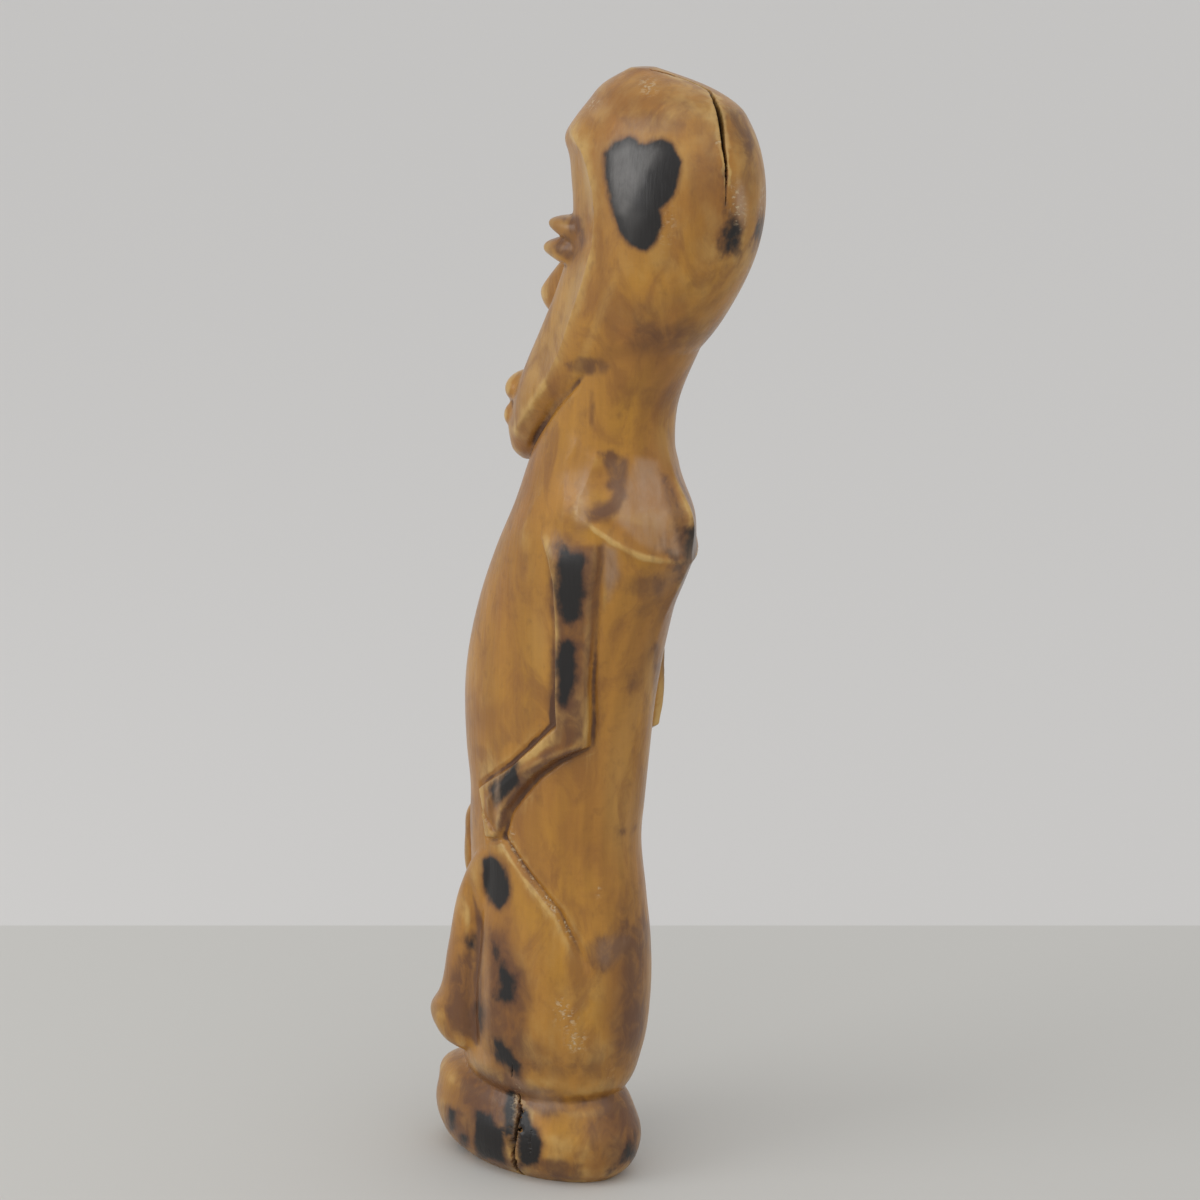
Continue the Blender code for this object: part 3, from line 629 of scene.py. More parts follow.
def between(rows, height):
    """One section between the given ones, on a smooth curve through each column of the rows."""
    table = np.array(rows)
    heights = table[:, 0]
    k = int(np.clip(np.searchsorted(heights, height) - 1, 0, len(heights) - 2))
    slopes = np.gradient(table, heights, axis=0)
    span = heights[k + 1] - heights[k]
    t = (height - heights[k]) / span
    start, end = table[k], table[k + 1]
    return (
        (2 * t**3 - 3 * t**2 + 1) * start
        + (t**3 - 2 * t**2 + t) * span * slopes[k]
        + (3 * t**2 - 2 * t**3) * end
        + (t**3 - t**2) * span * slopes[k + 1]
    )


def section_point(section, angle, middle_x):
    """The point of a level section at an angle, seen from above."""
    height, front, back, half_width, back_wider, keel = section
    across, along = math.cos(angle), math.sin(angle)
    if along > 0:
        straight = 1 / (abs(across) + along)
        cut_back = 1 + keel * (straight - 1)
        across, along = across * cut_back, along * cut_back
    across *= half_width * (1 + back_wider * max(0.0, math.sin(angle)))
    along *= (back - front) / 2
    return middle_x + across, (front + back) / 2 + along, height


def draw_up(first, step, levels, turn=(0.0, 0.0, 0.0)):
    """A filled circle of radius 1, drawn out by equal steps into a closed tube."""
    bpy.ops.object.select_all(action="DESELECT")
    bpy.ops.mesh.primitive_circle_add(
        vertices=RING_POINTS, radius=1.0, fill_type="NGON", location=first, rotation=turn
    )
    tube = bpy.context.object
    bpy.ops.object.transform_apply(location=True, rotation=True)
    bpy.ops.object.mode_set(mode="EDIT")
    bpy.ops.mesh.select_all(action="SELECT")
    for _ in range(levels):
        bpy.ops.mesh.extrude_region_move(TRANSFORM_OT_translate={"value": step})
    bpy.ops.object.mode_set(mode="OBJECT")
    return tube


def pick(*pieces):
    """Selects these pieces and nothing else, with the first as the active one."""
    bpy.ops.object.select_all(action="DESELECT")
    for piece in pieces:
        piece.select_set(True)
    bpy.context.view_layer.objects.active = pieces[0]


def face_outwards(piece):
    """Turns all faces of a closed piece to point outwards."""
    pick(piece)
    bpy.ops.object.mode_set(mode="EDIT")
    bpy.ops.mesh.select_all(action="SELECT")
    bpy.ops.mesh.normals_make_consistent(inside=False)
    bpy.ops.object.mode_set(mode="OBJECT")


def add_tower(rows, middle_x=0.0):
    """A closed form that stands upright, with the level sections that its rows give."""
    rows = [row + (0.0,) * (SECTION_VALUES - len(row)) for row in rows]
    lowest, highest = rows[0][0], rows[-1][0]
    levels = max(LEAST_LEVELS, round((highest - lowest) / RING_STEP))
    step = (highest - lowest) / levels
    tower = draw_up((0.0, 0.0, lowest), (0.0, 0.0, step), levels)
    sections = [between(rows, lowest + step * level) for level in range(levels + 1)]
    for point in tower.data.vertices:
        level = round((point.co.z - lowest) / step)
        angle = math.atan2(point.co.y, point.co.x)
        point.co = section_point(sections[level], angle, middle_x)
    face_outwards(tower)
    return tower


def add_lump(middle, half_sizes):
    """A rounded lump."""
    bpy.ops.object.select_all(action="DESELECT")
    bpy.ops.mesh.primitive_uv_sphere_add(segments=40, ring_count=28, radius=1.0, location=middle)
    lump = bpy.context.object
    lump.scale = half_sizes
    bpy.ops.object.transform_apply(location=True, rotation=False, scale=True)
    return lump


def add_lid(middle_x, rows):
    """An eyelid that juts forward, with the upright sections that its rows give."""
    tip, root = rows[0][0], rows[-1][0]
    step = (root - tip) / LID_LEVELS
    lid = draw_up((0.0, root, 0.0), (0.0, -step, 0.0), LID_LEVELS, (math.pi / 2, 0.0, 0.0))
    for point in lid.data.vertices:
        _, low, high, half_width = between(rows, point.co.y)
        point.co.x = middle_x + point.co.x * half_width
        bulge = math.copysign(abs(point.co.z) ** LID_SQUARENESS, point.co.z)
        point.co.z = (low + high) / 2 + bulge * (high - low) / 2
    face_outwards(lid)
    return lid


def apply_modifier(piece, name, kind, **settings):
    """Adds one modifier with its settings to a piece, and applies it."""
    pick(piece)
    modifier = piece.modifiers.new(name, kind)
    for setting, value in settings.items():
        setattr(modifier, setting, value)
    bpy.ops.object.modifier_apply(modifier=modifier.name)


def make_blank(grain):
    """The closed forms of the figure, grown together into one skin, without the fine carving."""
    forms = [add_tower(rows) for rows in (BASE, TRUNK, HEAD, APRON, NOSE)]
    forms += [add_lump(*lip) for lip in LIPS]
    for side in (-1, 1):
        forms.append(add_tower(SHIN, side * SHIN_MIDDLE))
        forms.append(add_lid(side * EYE_MIDDLE, UPPER_LID))
        forms.append(add_lid(side * EYE_MIDDLE, LOWER_LID))
    pick(*forms)
    bpy.ops.object.join()
    blank = forms[0]
    blank.name = "figure"
    blank.data.name = "figure"
    apply_modifier(blank, "one skin", "REMESH", mode="VOXEL", voxel_size=grain)
    rounds = round(ROUNDING / grain**2)
    apply_modifier(blank, "rounded joins", "SMOOTH", factor=0.5, iterations=rounds)
    return blank


def line_distance(points, line, closed=False):
    """Distance in the side view from each point to a line, with its sign, and its place along.

    The distance is above nought on the left of the line's direction. The place runs from 0 at
    the line's start to 1 at its end.
    """
    flat = points[:, 1:3] if points.shape[1] == 3 else points
    corners = np.array(line + line[:1] if closed else line, dtype=float)
    best = np.full(len(flat), np.inf)
    signed = np.zeros(len(flat))
    place = np.zeros(len(flat))
    for i, (start, end) in enumerate(zip(corners, corners[1:])):
        along = end - start
        t = np.clip((flat - start) @ along / (along @ along), 0.0, 1.0)
        gap = flat - (start + t[:, None] * along)
        distance = np.hypot(gap[:, 0], gap[:, 1])
        turn = along[0] * gap[:, 1] - along[1] * gap[:, 0]
        nearer = distance < best
        best = np.where(nearer, distance, best)
        signed = np.where(nearer, np.where(turn >= 0, distance, -distance), signed)
        place = np.where(nearer, (i + t) / (len(corners) - 1), place)
    return signed, place


def depth_inside(points, outline):
    """Distance in a flat view from each point to a closed outline, above nought inside it."""
    flat = points[:, 1:3] if points.shape[1] == 3 else points
    distance, _ = line_distance(points, outline, closed=True)
    crossings = np.zeros(len(flat), dtype=int)
    corners = outline + outline[:1]
    for (x0, y0), (x1, y1) in zip(corners, corners[1:]):
        if y0 == y1:
            continue
        edge_x = x0 + (flat[:, 1] - y0) * (x1 - x0) / (y1 - y0)
        crossings += ((y0 > flat[:, 1]) != (y1 > flat[:, 1])) & (flat[:, 0] < edge_x)
    return np.where(crossings % 2 == 1, np.abs(distance), -np.abs(distance))


def soft_step(value, start, end):
    """Rises smoothly from 0 at start to 1 at end."""
    t = np.clip((value - start) / (end - start), 0.0, 1.0)
    return t * t * (3 - 2 * t)


def ends_faded(place, share=LINE_END_FADE):
    """Lets a carved line run out towards both of its ends."""
    return soft_step(place, 0.0, share) * soft_step(1.0 - place, 0.0, share)


def groove(points, line, depth=GROOVE_DEPTH, width=GROOVE_WIDTH):
    """A carved groove along a line of the side view."""
    distance, place = line_distance(points, line)
    return -depth * np.exp(-((distance / width) ** 2)) * ends_faded(place)


def ridge(points, line, rise, width=RIDGE_WIDTH):
    """A raised edge along a line of the side view, where two carved faces meet."""
    distance, place = line_distance(points, line)
    return rise * np.exp(-np.abs(distance) / width) * ends_faded(place)


def swelling(points, middle, reach):
    """A soft round form of the side view, from 1 at its middle to nothing beyond its reach."""
    return np.exp(-(((points[:, 1:3] - middle) / reach) ** 2).sum(axis=1))


def carve_arms(points):
    """How far the arms and hands stand out from the body."""
    depth_in = depth_inside(points, ARM_OUTLINE)
    on_side = soft_step(np.abs(points[:, 0]), *SIDE_BLEND)
    on_side *= soft_step(ARM_TOP - points[:, 2], 0.0, ARM_BLEND)
    in_front = soft_step(ARM_MIDDLE - points[:, 1], *FRONT_BLEND)
    at_elbow = np.exp(-(((points[:, 2] - ELBOW_HEIGHT) / ELBOW_REACH) ** 2))
    proud = ARM_RELIEF + ARM_FRONT_RELIEF * in_front + ELBOW_RELIEF * at_elbow
    move = proud * soft_step(depth_in, EDGE_FOOT, ARM_EDGE)
    upper_front = in_front * soft_step(points[:, 2], *UPPER_ARM)
    shadow = np.exp(-(((depth_in - ARM_SHADOW_MIDDLE) / ARM_SHADOW_WIDTH) ** 2))
    move -= ARM_SHADOW * shadow * (1 - upper_front)
    move -= ARMPIT_DEPTH * swelling(points, ARMPIT_MIDDLE, ARMPIT_REACH) * (depth_in < 0)
    move += ridge(points, FOREARM_RIDGE, FOREARM_RISE)
    return move * on_side


def carve_thighs(points):
    """How far the thighs stand out below their upper edge, and the groove along it."""
    behind_knee = soft_step(THIGH_EDGE[-1][0] - points[:, 1], 0.0, THIGH_RUN_OUT)
    distance, _ = line_distance(points, THIGH_EDGE[::-1])
    swell = np.exp(-np.clip(distance, 0.0, None) / THIGH_FADE)
    swell *= soft_step(points[:, 1], *KNEE_BLEND)
    move = THIGH_RELIEF * soft_step(distance, EDGE_FOOT, THIGH_EDGE_WIDTH) * swell
    return move * behind_knee + groove(points, THIGH_EDGE)


def carving(points):
    """How far each point of the skin moves outwards for the carving of the two sides."""
    move = carve_arms(points) + carve_thighs(points)
    move += groove(points, SHIN_EDGE, VALLEY_DEPTH, VALLEY_WIDTH)
    move += groove(points, JAW_EDGE, JAW_DEPTH, JAW_WIDTH)
    move += ridge(points, YOKE_EDGE, YOKE_RISE, YOKE_WIDTH)
    move += ridge(points, YOKE_FACET, FACET_RISE, BROAD_RIDGE)
    move += ridge(points, SHOULDER_RIDGE, SHOULDER_RISE, BROAD_RIDGE)
    move += SHOULDER_KNOB * swelling(points, SHOULDER_MIDDLE, SHOULDER_REACH)
    move += ridge(points, CHEST_RIDGE, CHEST_RISE, BROAD_RIDGE)
    distance, place = line_distance(points, FACE_EDGE)
    on_face = 1 - np.exp(np.clip(distance, None, 0.0) / FACE_SLOPE)
    on_face *= 1 - soft_step(-distance, *FACE_REACH)
    rim = FACE_RIDGE * np.exp(-np.abs(distance) / BROAD_RIDGE)
    return move + (rim - FACE_HOLLOW * on_face) * ends_faded(place, FACE_END_FADE)


def read_points(piece):
    """The piece's points and their normals, as tables of numbers."""
    count = len(piece.data.vertices)
    points = np.empty(count * 3, dtype=np.float32)
    normals = np.empty(count * 3, dtype=np.float32)
    piece.data.vertices.foreach_get("co", points)
    piece.data.vertex_normals.foreach_get("vector", normals)
    return points.reshape(-1, 3).astype(float), normals.reshape(-1, 3).astype(float)


def write_points(piece, points):
    """Puts the piece's points at new places."""
    piece.data.vertices.foreach_set("co", points.astype(np.float32).ravel())
    piece.data.update()


def carve(piece):
    """Moves the skin's points along their normals for the carving of the sides."""
    points, normals = read_points(piece)
    write_points(piece, points + normals * carving(points)[:, None])


def saw_underside(piece):
    """Saws the base off level, so that the figure stands on a flat face."""
    bpy.ops.object.mode_set(mode="EDIT")
    bpy.ops.mesh.select_all(action="SELECT")
    bpy.ops.mesh.bisect(
        plane_co=(0.0, 0.0, UNDERSIDE), plane_no=(0.0, 0.0, 1.0), use_fill=True, clear_inner=True
    )
    bpy.ops.object.mode_set(mode="OBJECT")


def path_distance(points, path):
    """Distance from each point to a path in space, with the path's half width beside it."""
    best = np.full(len(points), np.inf)
    width = np.zeros(len(points))
    for (start, start_width), (end, end_width) in zip(path, path[1:]):
        start, along = np.array(start), np.array(end) - np.array(start)
        t = np.clip((points - start) @ along / (along @ along), 0.0, 1.0)
        distance = np.linalg.norm(points - start - t[:, None] * along, axis=1)
        nearer = distance < best
        best = np.where(nearer, distance, best)
        width = np.where(nearer, start_width + (end_width - start_width) * t, width)
    return best, width


def laid_on_skin(piece, path):
    """A path taken in short steps, each laid on the nearest place of the piece's skin."""
    laid = []
    for (start, start_width), (end, end_width) in zip(path, path[1:]):
        for share in np.arange(CRACK_STEPS) / CRACK_STEPS:
            place = Vector(start).lerp(Vector(end), share)
            _, nearest, _, _ = piece.closest_point_on_mesh(place)
            laid.append((tuple(nearest), start_width + (end_width - start_width) * share))
    _, nearest, _, _ = piece.closest_point_on_mesh(Vector(path[-1][0]))
    return laid + [(tuple(nearest), path[-1][1])]


def select_near(piece, path, reach):
    """Selects the faces of a piece whose corners all lie near a path."""
    points, _ = read_points(piece)
    near = path_distance(points, path)[0] < reach
    bpy.ops.object.mode_set(mode="EDIT")
    bpy.context.tool_settings.mesh_select_mode = (False, False, True)
    bpy.ops.mesh.select_all(action="DESELECT")
    bpy.ops.object.mode_set(mode="OBJECT")
    for face in piece.data.polygons:
        face.select = all(near[corner] for corner in face.vertices)


def open_cracks(piece):
    """Splits the skin finely beside each crack, and sinks it along the crack's line."""
    piece.data.attributes.new("crack", "FLOAT", "POINT")
    for path, depth in CRACKS:
        path = laid_on_skin(piece, path)
        for reach in (CRACK_REACH, CRACK_REACH / 2):
            select_near(piece, path, reach)
            bpy.ops.object.mode_set(mode="EDIT")
            bpy.ops.mesh.subdivide(number_cuts=1, quadcorner="INNERVERT")
            bpy.ops.object.mode_set(mode="OBJECT")
        points, normals = read_points(piece)
        distance, width = path_distance(points, path)
        sink = depth * np.clip(width / FULL_CRACK_WIDTH, LEAST_CRACK_DEPTH, 1.0)
        sink *= 1 - soft_step(distance / width, *CRACK_WALLS)
        write_points(piece, points - normals * sink[:, None])
        # The crack mask lays a painted dark shade inside the crack.
        opened = piece.data.attributes["crack"]
        cover = np.empty(len(points), dtype=np.float32)
        opened.data.foreach_get("value", cover)
        cover = np.maximum(cover, 1 - soft_step(distance / width, *CRACK_DARK))
        opened.data.foreach_set("value", cover.astype(np.float32))


def seen_places(points):
    """Where the picture's camera sees points given in parts, in the picture's pixels."""
    camera, right, up, forward = camera_axes()
    gaps = (points - (0.0, 0.0, UNDERSIDE)) * (HIGH_CORNER.z / PARTS) - camera
    depth = gaps @ forward
    across = PICTURE_SIDE / 2 + FOCAL_LENGTH * (gaps @ right) / depth
    down = PICTURE_SIDE / 2 - FOCAL_LENGTH * (gaps @ up) / depth
    return np.column_stack((across, down))


def camera_axes():
    """The camera's place, and its directions to the right, upwards and forwards."""
    towards = np.array(TOWARDS_CAMERA)
    right = np.array((-math.sin(CAMERA_TURN), math.cos(CAMERA_TURN), 0.0))
    upright = np.array((0.0, 0.0, 1.0))
    place = towards * CAMERA_REACH + right * CAMERA_ASIDE + upright * CAMERA_HEIGHT
    forward = -towards * math.cos(CAMERA_DIP) - upright * math.sin(CAMERA_DIP)
    return place, right, np.cross(right, forward), forward


def smoothed(values, edges, rounds):
    """Values of the points, each averaged with its neighbours a number of times."""
    count = len(values)
    first = np.concatenate((edges[:, 0], edges[:, 1]))
    second = np.concatenate((edges[:, 1], edges[:, 0]))
    shares = np.bincount(first, minlength=count) + 1.0
    for _ in range(rounds):
        total = values.copy()
        for column in range(values.shape[1]):
            total[:, column] += np.bincount(first, values[second, column], minlength=count)
        values = total / shares[:, None]
    return values


def set_mask(piece, name, values):
    """Keeps one number for each point of the piece, for its material to read."""
    attribute = piece.data.attributes.new(name, "FLOAT", "POINT")
    attribute.data.foreach_set("value", values.astype(np.float32))


def mark_burns(piece):
    """Keeps how deep each point lies inside a burnt mark, in its blurs, on both sides."""
    points, normals = read_points(piece)
    _, _, _, forward = camera_axes()
    deepest = np.full(len(points), -BURN_RANGE)
    for side in (1.0, -1.0):
        turned = points * (side, 1.0, 1.0)
        facing = -(normals * (side, 1.0, 1.0)) @ forward
        places = seen_places(turned)
        seen = (facing > BURN_FACING) & (turned[:, 0] > BURN_SIDE)
        for outline, blur in BURNS:
            depth = np.where(seen, depth_inside(places, outline) / blur, -BURN_RANGE)
            deepest = np.maximum(deepest, depth)
    set_mask(piece, "burn", np.clip(deepest, -BURN_RANGE, BURN_RANGE))


def marked(points, normals, name, marks):
    """How strongly each point lies under the marks of one name, where the camera sees it.

    The marks are soft round ones, and the outlined patches of that name.
    """
    _, _, _, forward = camera_axes()
    facing = soft_step(-normals @ forward, *MARK_FACING) * soft_step(points[:, 0], *MARK_SIDE)
    places = seen_places(points)
    cover = np.zeros(len(points))
    for across, down, half_width, half_height, turn, strength in marks:
        gap = places - (across, down)
        cosine, sine = math.cos(math.radians(turn)), math.sin(math.radians(turn))
        along = (gap[:, 0] * cosine + gap[:, 1] * sine) / half_width
        upright = (gap[:, 1] * cosine - gap[:, 0] * sine) / half_height
        mark = strength * np.exp(-((along**2 + upright**2) ** MARK_STEEPNESS))
        cover = 1 - (1 - cover) * (1 - mark * facing)
    for kind, strength, blur, outline in PATCHES:
        if kind == name:
            mark = strength * soft_step(depth_inside(places, outline), -blur, blur)
            cover = 1 - (1 - cover) * (1 - mark * facing)
    return cover


def mark_stains(piece):
    """Keeps smoke, stains and painted shade, golden patches, grey bloom, painted sheen and
    highlights, and chipped areas of both sides.
    """
    points, normals = read_points(piece)
    for name, marks, other_side in MASKS:
        cover = marked(points, normals, name, marks)
        turned = points * (-1.0, 1.0, 1.0)
        mirrored = marked(turned, normals * (-1.0, 1.0, 1.0), name, marks) * other_side
        set_mask(piece, name, 1 - (1 - cover) * (1 - mirrored))


def mark_wear(piece):
    """Keeps how hollow or how proud the skin is at each point."""
    points, normals = read_points(piece)
    edges = np.empty(len(piece.data.edges) * 2, dtype=np.int32)
    piece.data.edges.foreach_get("vertices", edges)
    edges = edges.reshape(-1, 2)
    fine = ((smoothed(points, edges, FINE_ROUNDS) - points) * normals).sum(axis=1)
    broad = ((smoothed(points, edges, BROAD_ROUNDS) - points) * normals).sum(axis=1)
    sunk = smoothed(np.column_stack((fine, broad)), edges, LAST_ROUNDS)
    # Darkening of hollows, partly dirt and partly painted shade, and rubbing of proud edges.
    hollow = sunk[:, 0] / FINE_HOLLOW + sunk[:, 1] / BROAD_HOLLOW - CLEAN_HOLLOW
    proud = -sunk[:, 0] / FINE_PROUD - sunk[:, 1] / BROAD_PROUD - CLEAN_PROUD
    set_mask(piece, "hollow", np.clip(hollow, 0.0, 1.0))
    set_mask(piece, "proud", np.clip(proud, 0.0, 1.0))


def fill_inputs(tree, node, inputs):
    """Links each input of a node that is given a socket, and sets each that is given a value."""
    for name, value in inputs.items():
        if isinstance(value, bpy.types.NodeSocket):
            tree.links.new(value, node.inputs[name])
        else:
            node.inputs[name].default_value = value


def add_node(tree, kind, place, inputs=(), **settings):
    """Adds a node to a tree at its place, with its settings and its inputs."""
    node = tree.nodes.new(kind)
    node.location = place
    for setting, value in settings.items():
        setattr(node, setting, value)
    fill_inputs(tree, node, dict(inputs))
    return node


def new_group(name, values, outputs):
    """A shader node group with a place and values for inputs, and its two end nodes."""
    group = bpy.data.node_groups.new(name, "ShaderNodeTree")
    group.interface.new_socket("Vector", in_out="INPUT", socket_type="NodeSocketVector")
    for socket, value in values.items():
        made = group.interface.new_socket(socket, in_out="INPUT", socket_type="NodeSocketFloat")
        made.default_value = value
    for socket in outputs:
        group.interface.new_socket(socket, in_out="OUTPUT", socket_type="NodeSocketFloat")
    start = add_node(group, "NodeGroupInput", (-900, 0))
    end = add_node(group, "NodeGroupOutput", (900, 0))
    return group, start, end


def stretched_noise(tree, place, vector, noise):
    """Noise whose spots are drawn out, as one of the noises of the finish says."""
    stretch, detail, roughness, distortion = noise
    mapping = add_node(tree, "ShaderNodeMapping", place, {"Vector": vector, "Scale": stretch})
    texture = add_node(
        tree,
        "ShaderNodeTexNoise",
        (place[0] + 200, place[1]),
        {
            "Vector": mapping.outputs["Vector"],
            "Scale": 1.0,
            "Detail": detail,
            "Roughness": roughness,
            "Distortion": distortion,
        },
    )
    return texture.outputs["Fac"]


def ramp_between(tree, place, value, start, end, low=0.0, high=1.0):
    """A smooth rise of a value from start to end, given as low to high."""
    inputs = {
        "Value": value, "From Min": start, "From Max": end, "To Min": low, "To Max": high,
    }
    node = add_node(tree, "ShaderNodeMapRange", place, inputs, interpolation_type="SMOOTHSTEP")
    return node.outputs["Result"]


def sum_up(tree, place, operation, first, second):
    """The result of one piece of arithmetic on two values."""
    node = add_node(tree, "ShaderNodeMath", place, {0: first, 1: second}, operation=operation)
    return node.outputs["Value"]


def blend_colours(tree, place, share, first, second, blend="MIX"):
    """Two colours laid over each other, the second by its share."""
    node = add_node(
        tree, "ShaderNodeMix", place, data_type="RGBA", blend_type=blend, clamp_factor=True
    )
    fill_inputs(tree, node, {0: share, 6: first, 7: second})
    return node.outputs[2]


def grain_group():
    """Fine and broad streaks along the grain, growth rings, and short flecks across it."""
    group, start, end = new_group(
        "Wood grain", {}, ["Fine streaks", "Broad streaks", "Rings", "Flecks"]
    )
    vector = start.outputs["Vector"]
    heart = add_node(
        group,
        "ShaderNodeMapping",
        (-600, -600),
        {"Vector": vector, "Location": (0.03, -0.018, 0.0), "Scale": (1.0, 1.0, 0.16)},
    )
    rings = add_node(
        group,
        "ShaderNodeTexWave",
        (-400, -600),
        {
            "Vector": heart.outputs["Vector"],
            "Scale": 105.0,
            "Distortion": 5.0,
            "Detail": 2.0,
            "Detail Scale": 0.35,
        },
        wave_type="RINGS",
        rings_direction="Z",
    )
    patterns = {
        "Fine streaks": stretched_noise(group, (-600, 300), vector, FINE_STREAKS),
        "Broad streaks": stretched_noise(group, (-600, 0), vector, BROAD_STREAKS),
        "Rings": rings.outputs["Fac"],
        "Flecks": stretched_noise(group, (-600, -300), vector, FLECKS),
    }
    fill_inputs(group, end, patterns)
    return group


def burn_group():
    """Charred wood inside a mark, and the browned wood round its ragged edge."""
    group, start, end = new_group(
        "Burning", {"Depth": -BURN_RANGE, "Smoke": 0.0}, ["Char", "Halo"]
    )
    coarse = stretched_noise(group, (-600, 200), start.outputs["Vector"], CHARRING)
    shift = ramp_between(group, (-200, 200), coarse, *RISES["ragged edge"])
    ragged = sum_up(group, (0, 200), "ADD", start.outputs["Depth"], shift)
    char = ramp_between(group, (200, 200), ragged, *RISES["char"])
    halo = ramp_between(group, (200, 0), ragged, *RISES["browned edge"])
    drift = ramp_between(group, (-200, -200), coarse, *RISES["drifting smoke"])
    smoke = sum_up(group, (0, -200), "ADD", start.outputs["Smoke"], drift)
    smoky = ramp_between(group, (200, -200), smoke, *RISES["smoke char"])
    hazy = ramp_between(group, (200, -400), smoke, *RISES["smoke haze"])
    group.links.new(sum_up(group, (450, 100), "MAXIMUM", char, smoky), end.inputs["Char"])
    group.links.new(sum_up(group, (450, -100), "MAXIMUM", halo, hazy), end.inputs["Halo"])
    return group


def wear_group():
    """Dirt and painted shade held in hollows, wood rubbed bright on proud edges, and pale chips and
    dust.
    """
    group, start, end = new_group(
        "Handling wear",
        {"Hollow": 0.0, "Proud": 0.0, "Chipped": 0.0},
        ["Dirt and painted shade", "Rubbed", "Chips", "Scratches"],
    )
    vector = start.outputs["Vector"]
    unevenness = stretched_noise(group, (-600, 300), vector, UNEVENNESS)
    uneven = ramp_between(group, (-200, 300), unevenness, *RISES["uneven wear"])
    dirt_and_painted_shade = sum_up(group, (0, 300), "MULTIPLY", start.outputs["Hollow"], uneven)
    rubbed = sum_up(group, (0, 100), "MULTIPLY", start.outputs["Proud"], uneven)
    specks = stretched_noise(group, (-600, -200), vector, SPECKS)
    sprinkle = ramp_between(group, (-200, -200), specks, *RISES["sprinkled chips"])
    worn = {
        "Dirt and painted shade": ramp_between(group, (400, 300), dirt_and_painted_shade, *RISES["dirt_and_painted_shade"]),
        "Rubbed": ramp_between(group, (400, 100), rubbed, *RISES["rubbing"]),
        "Chips": sum_up(group, (0, -200), "MULTIPLY", sprinkle, start.outputs["Chipped"]),
        "Scratches": stretched_noise(group, (-600, -500), vector, SCRATCHES),
    }
    fill_inputs(group, end, worn)
    return group


def mask_value(tree, place, name):
    """One of the numbers that the figure keeps for each of its points."""
    node = add_node(tree, "ShaderNodeAttribute", place, attribute_name=name)
    return node.outputs["Fac"]


def place_group(tree, level, group, place, masks):
    """Sets a node group into a material, and links the place and the masks that it reads."""
    node = add_node(tree, "ShaderNodeGroup", (-1000, level), node_tree=group, label=group.name)
    tree.links.new(place, node.inputs["Vector"])
    for row, (socket, mask) in enumerate(masks.items()):
        tree.links.new(mask_value(tree, (-1200, level - 200 * row), mask), node.inputs[socket])
    return node


def uneven_mask(tree, place, name, noise, rise):
    """One of the figure's masks, made uneven by a noise with its rise."""
    right, up = place
    uneven = ramp_between(tree, (right - 200, up - 200), noise, *RISES[rise])
    return sum_up(tree, place, "MULTIPLY", mask_value(tree, (right - 200, up), name), uneven)


def clear_wood(tree, place, grain, finish):
    """The colour of the clear wood, with its darker clouds, golden patches and grain."""
    clouds = stretched_noise(tree, (-1000, 700), place, CLOUDS)
    patches = ramp_between(tree, (-500, 700), clouds, *RISES["clouds"])
    colour = blend_colours(tree, (-300, 700), patches, finish.brown, finish.honey)
    gold = uneven_mask(tree, (-200, 1100), "gold", clouds, "golden clouds")
    colour = blend_colours(tree, (0, 700), gold, colour, finish.gold)
    depth = 1.0
    for step, (name, start, end, strength) in enumerate(GRAIN_TONES):
        level = 500 - 200 * step
        tone = ramp_between(
            tree, (-300, level), grain.outputs[name], start, end, 1 - strength, 1 + strength
        )
        depth = sum_up(tree, (150 * step, level), "MULTIPLY", depth, tone)
    tone = add_node(tree, "ShaderNodeCombineColor", (600, 300), {0: depth, 1: depth, 2: depth})
    return blend_colours(tree, (600, 700), 1.0, colour, tone.outputs["Color"], "MULTIPLY")


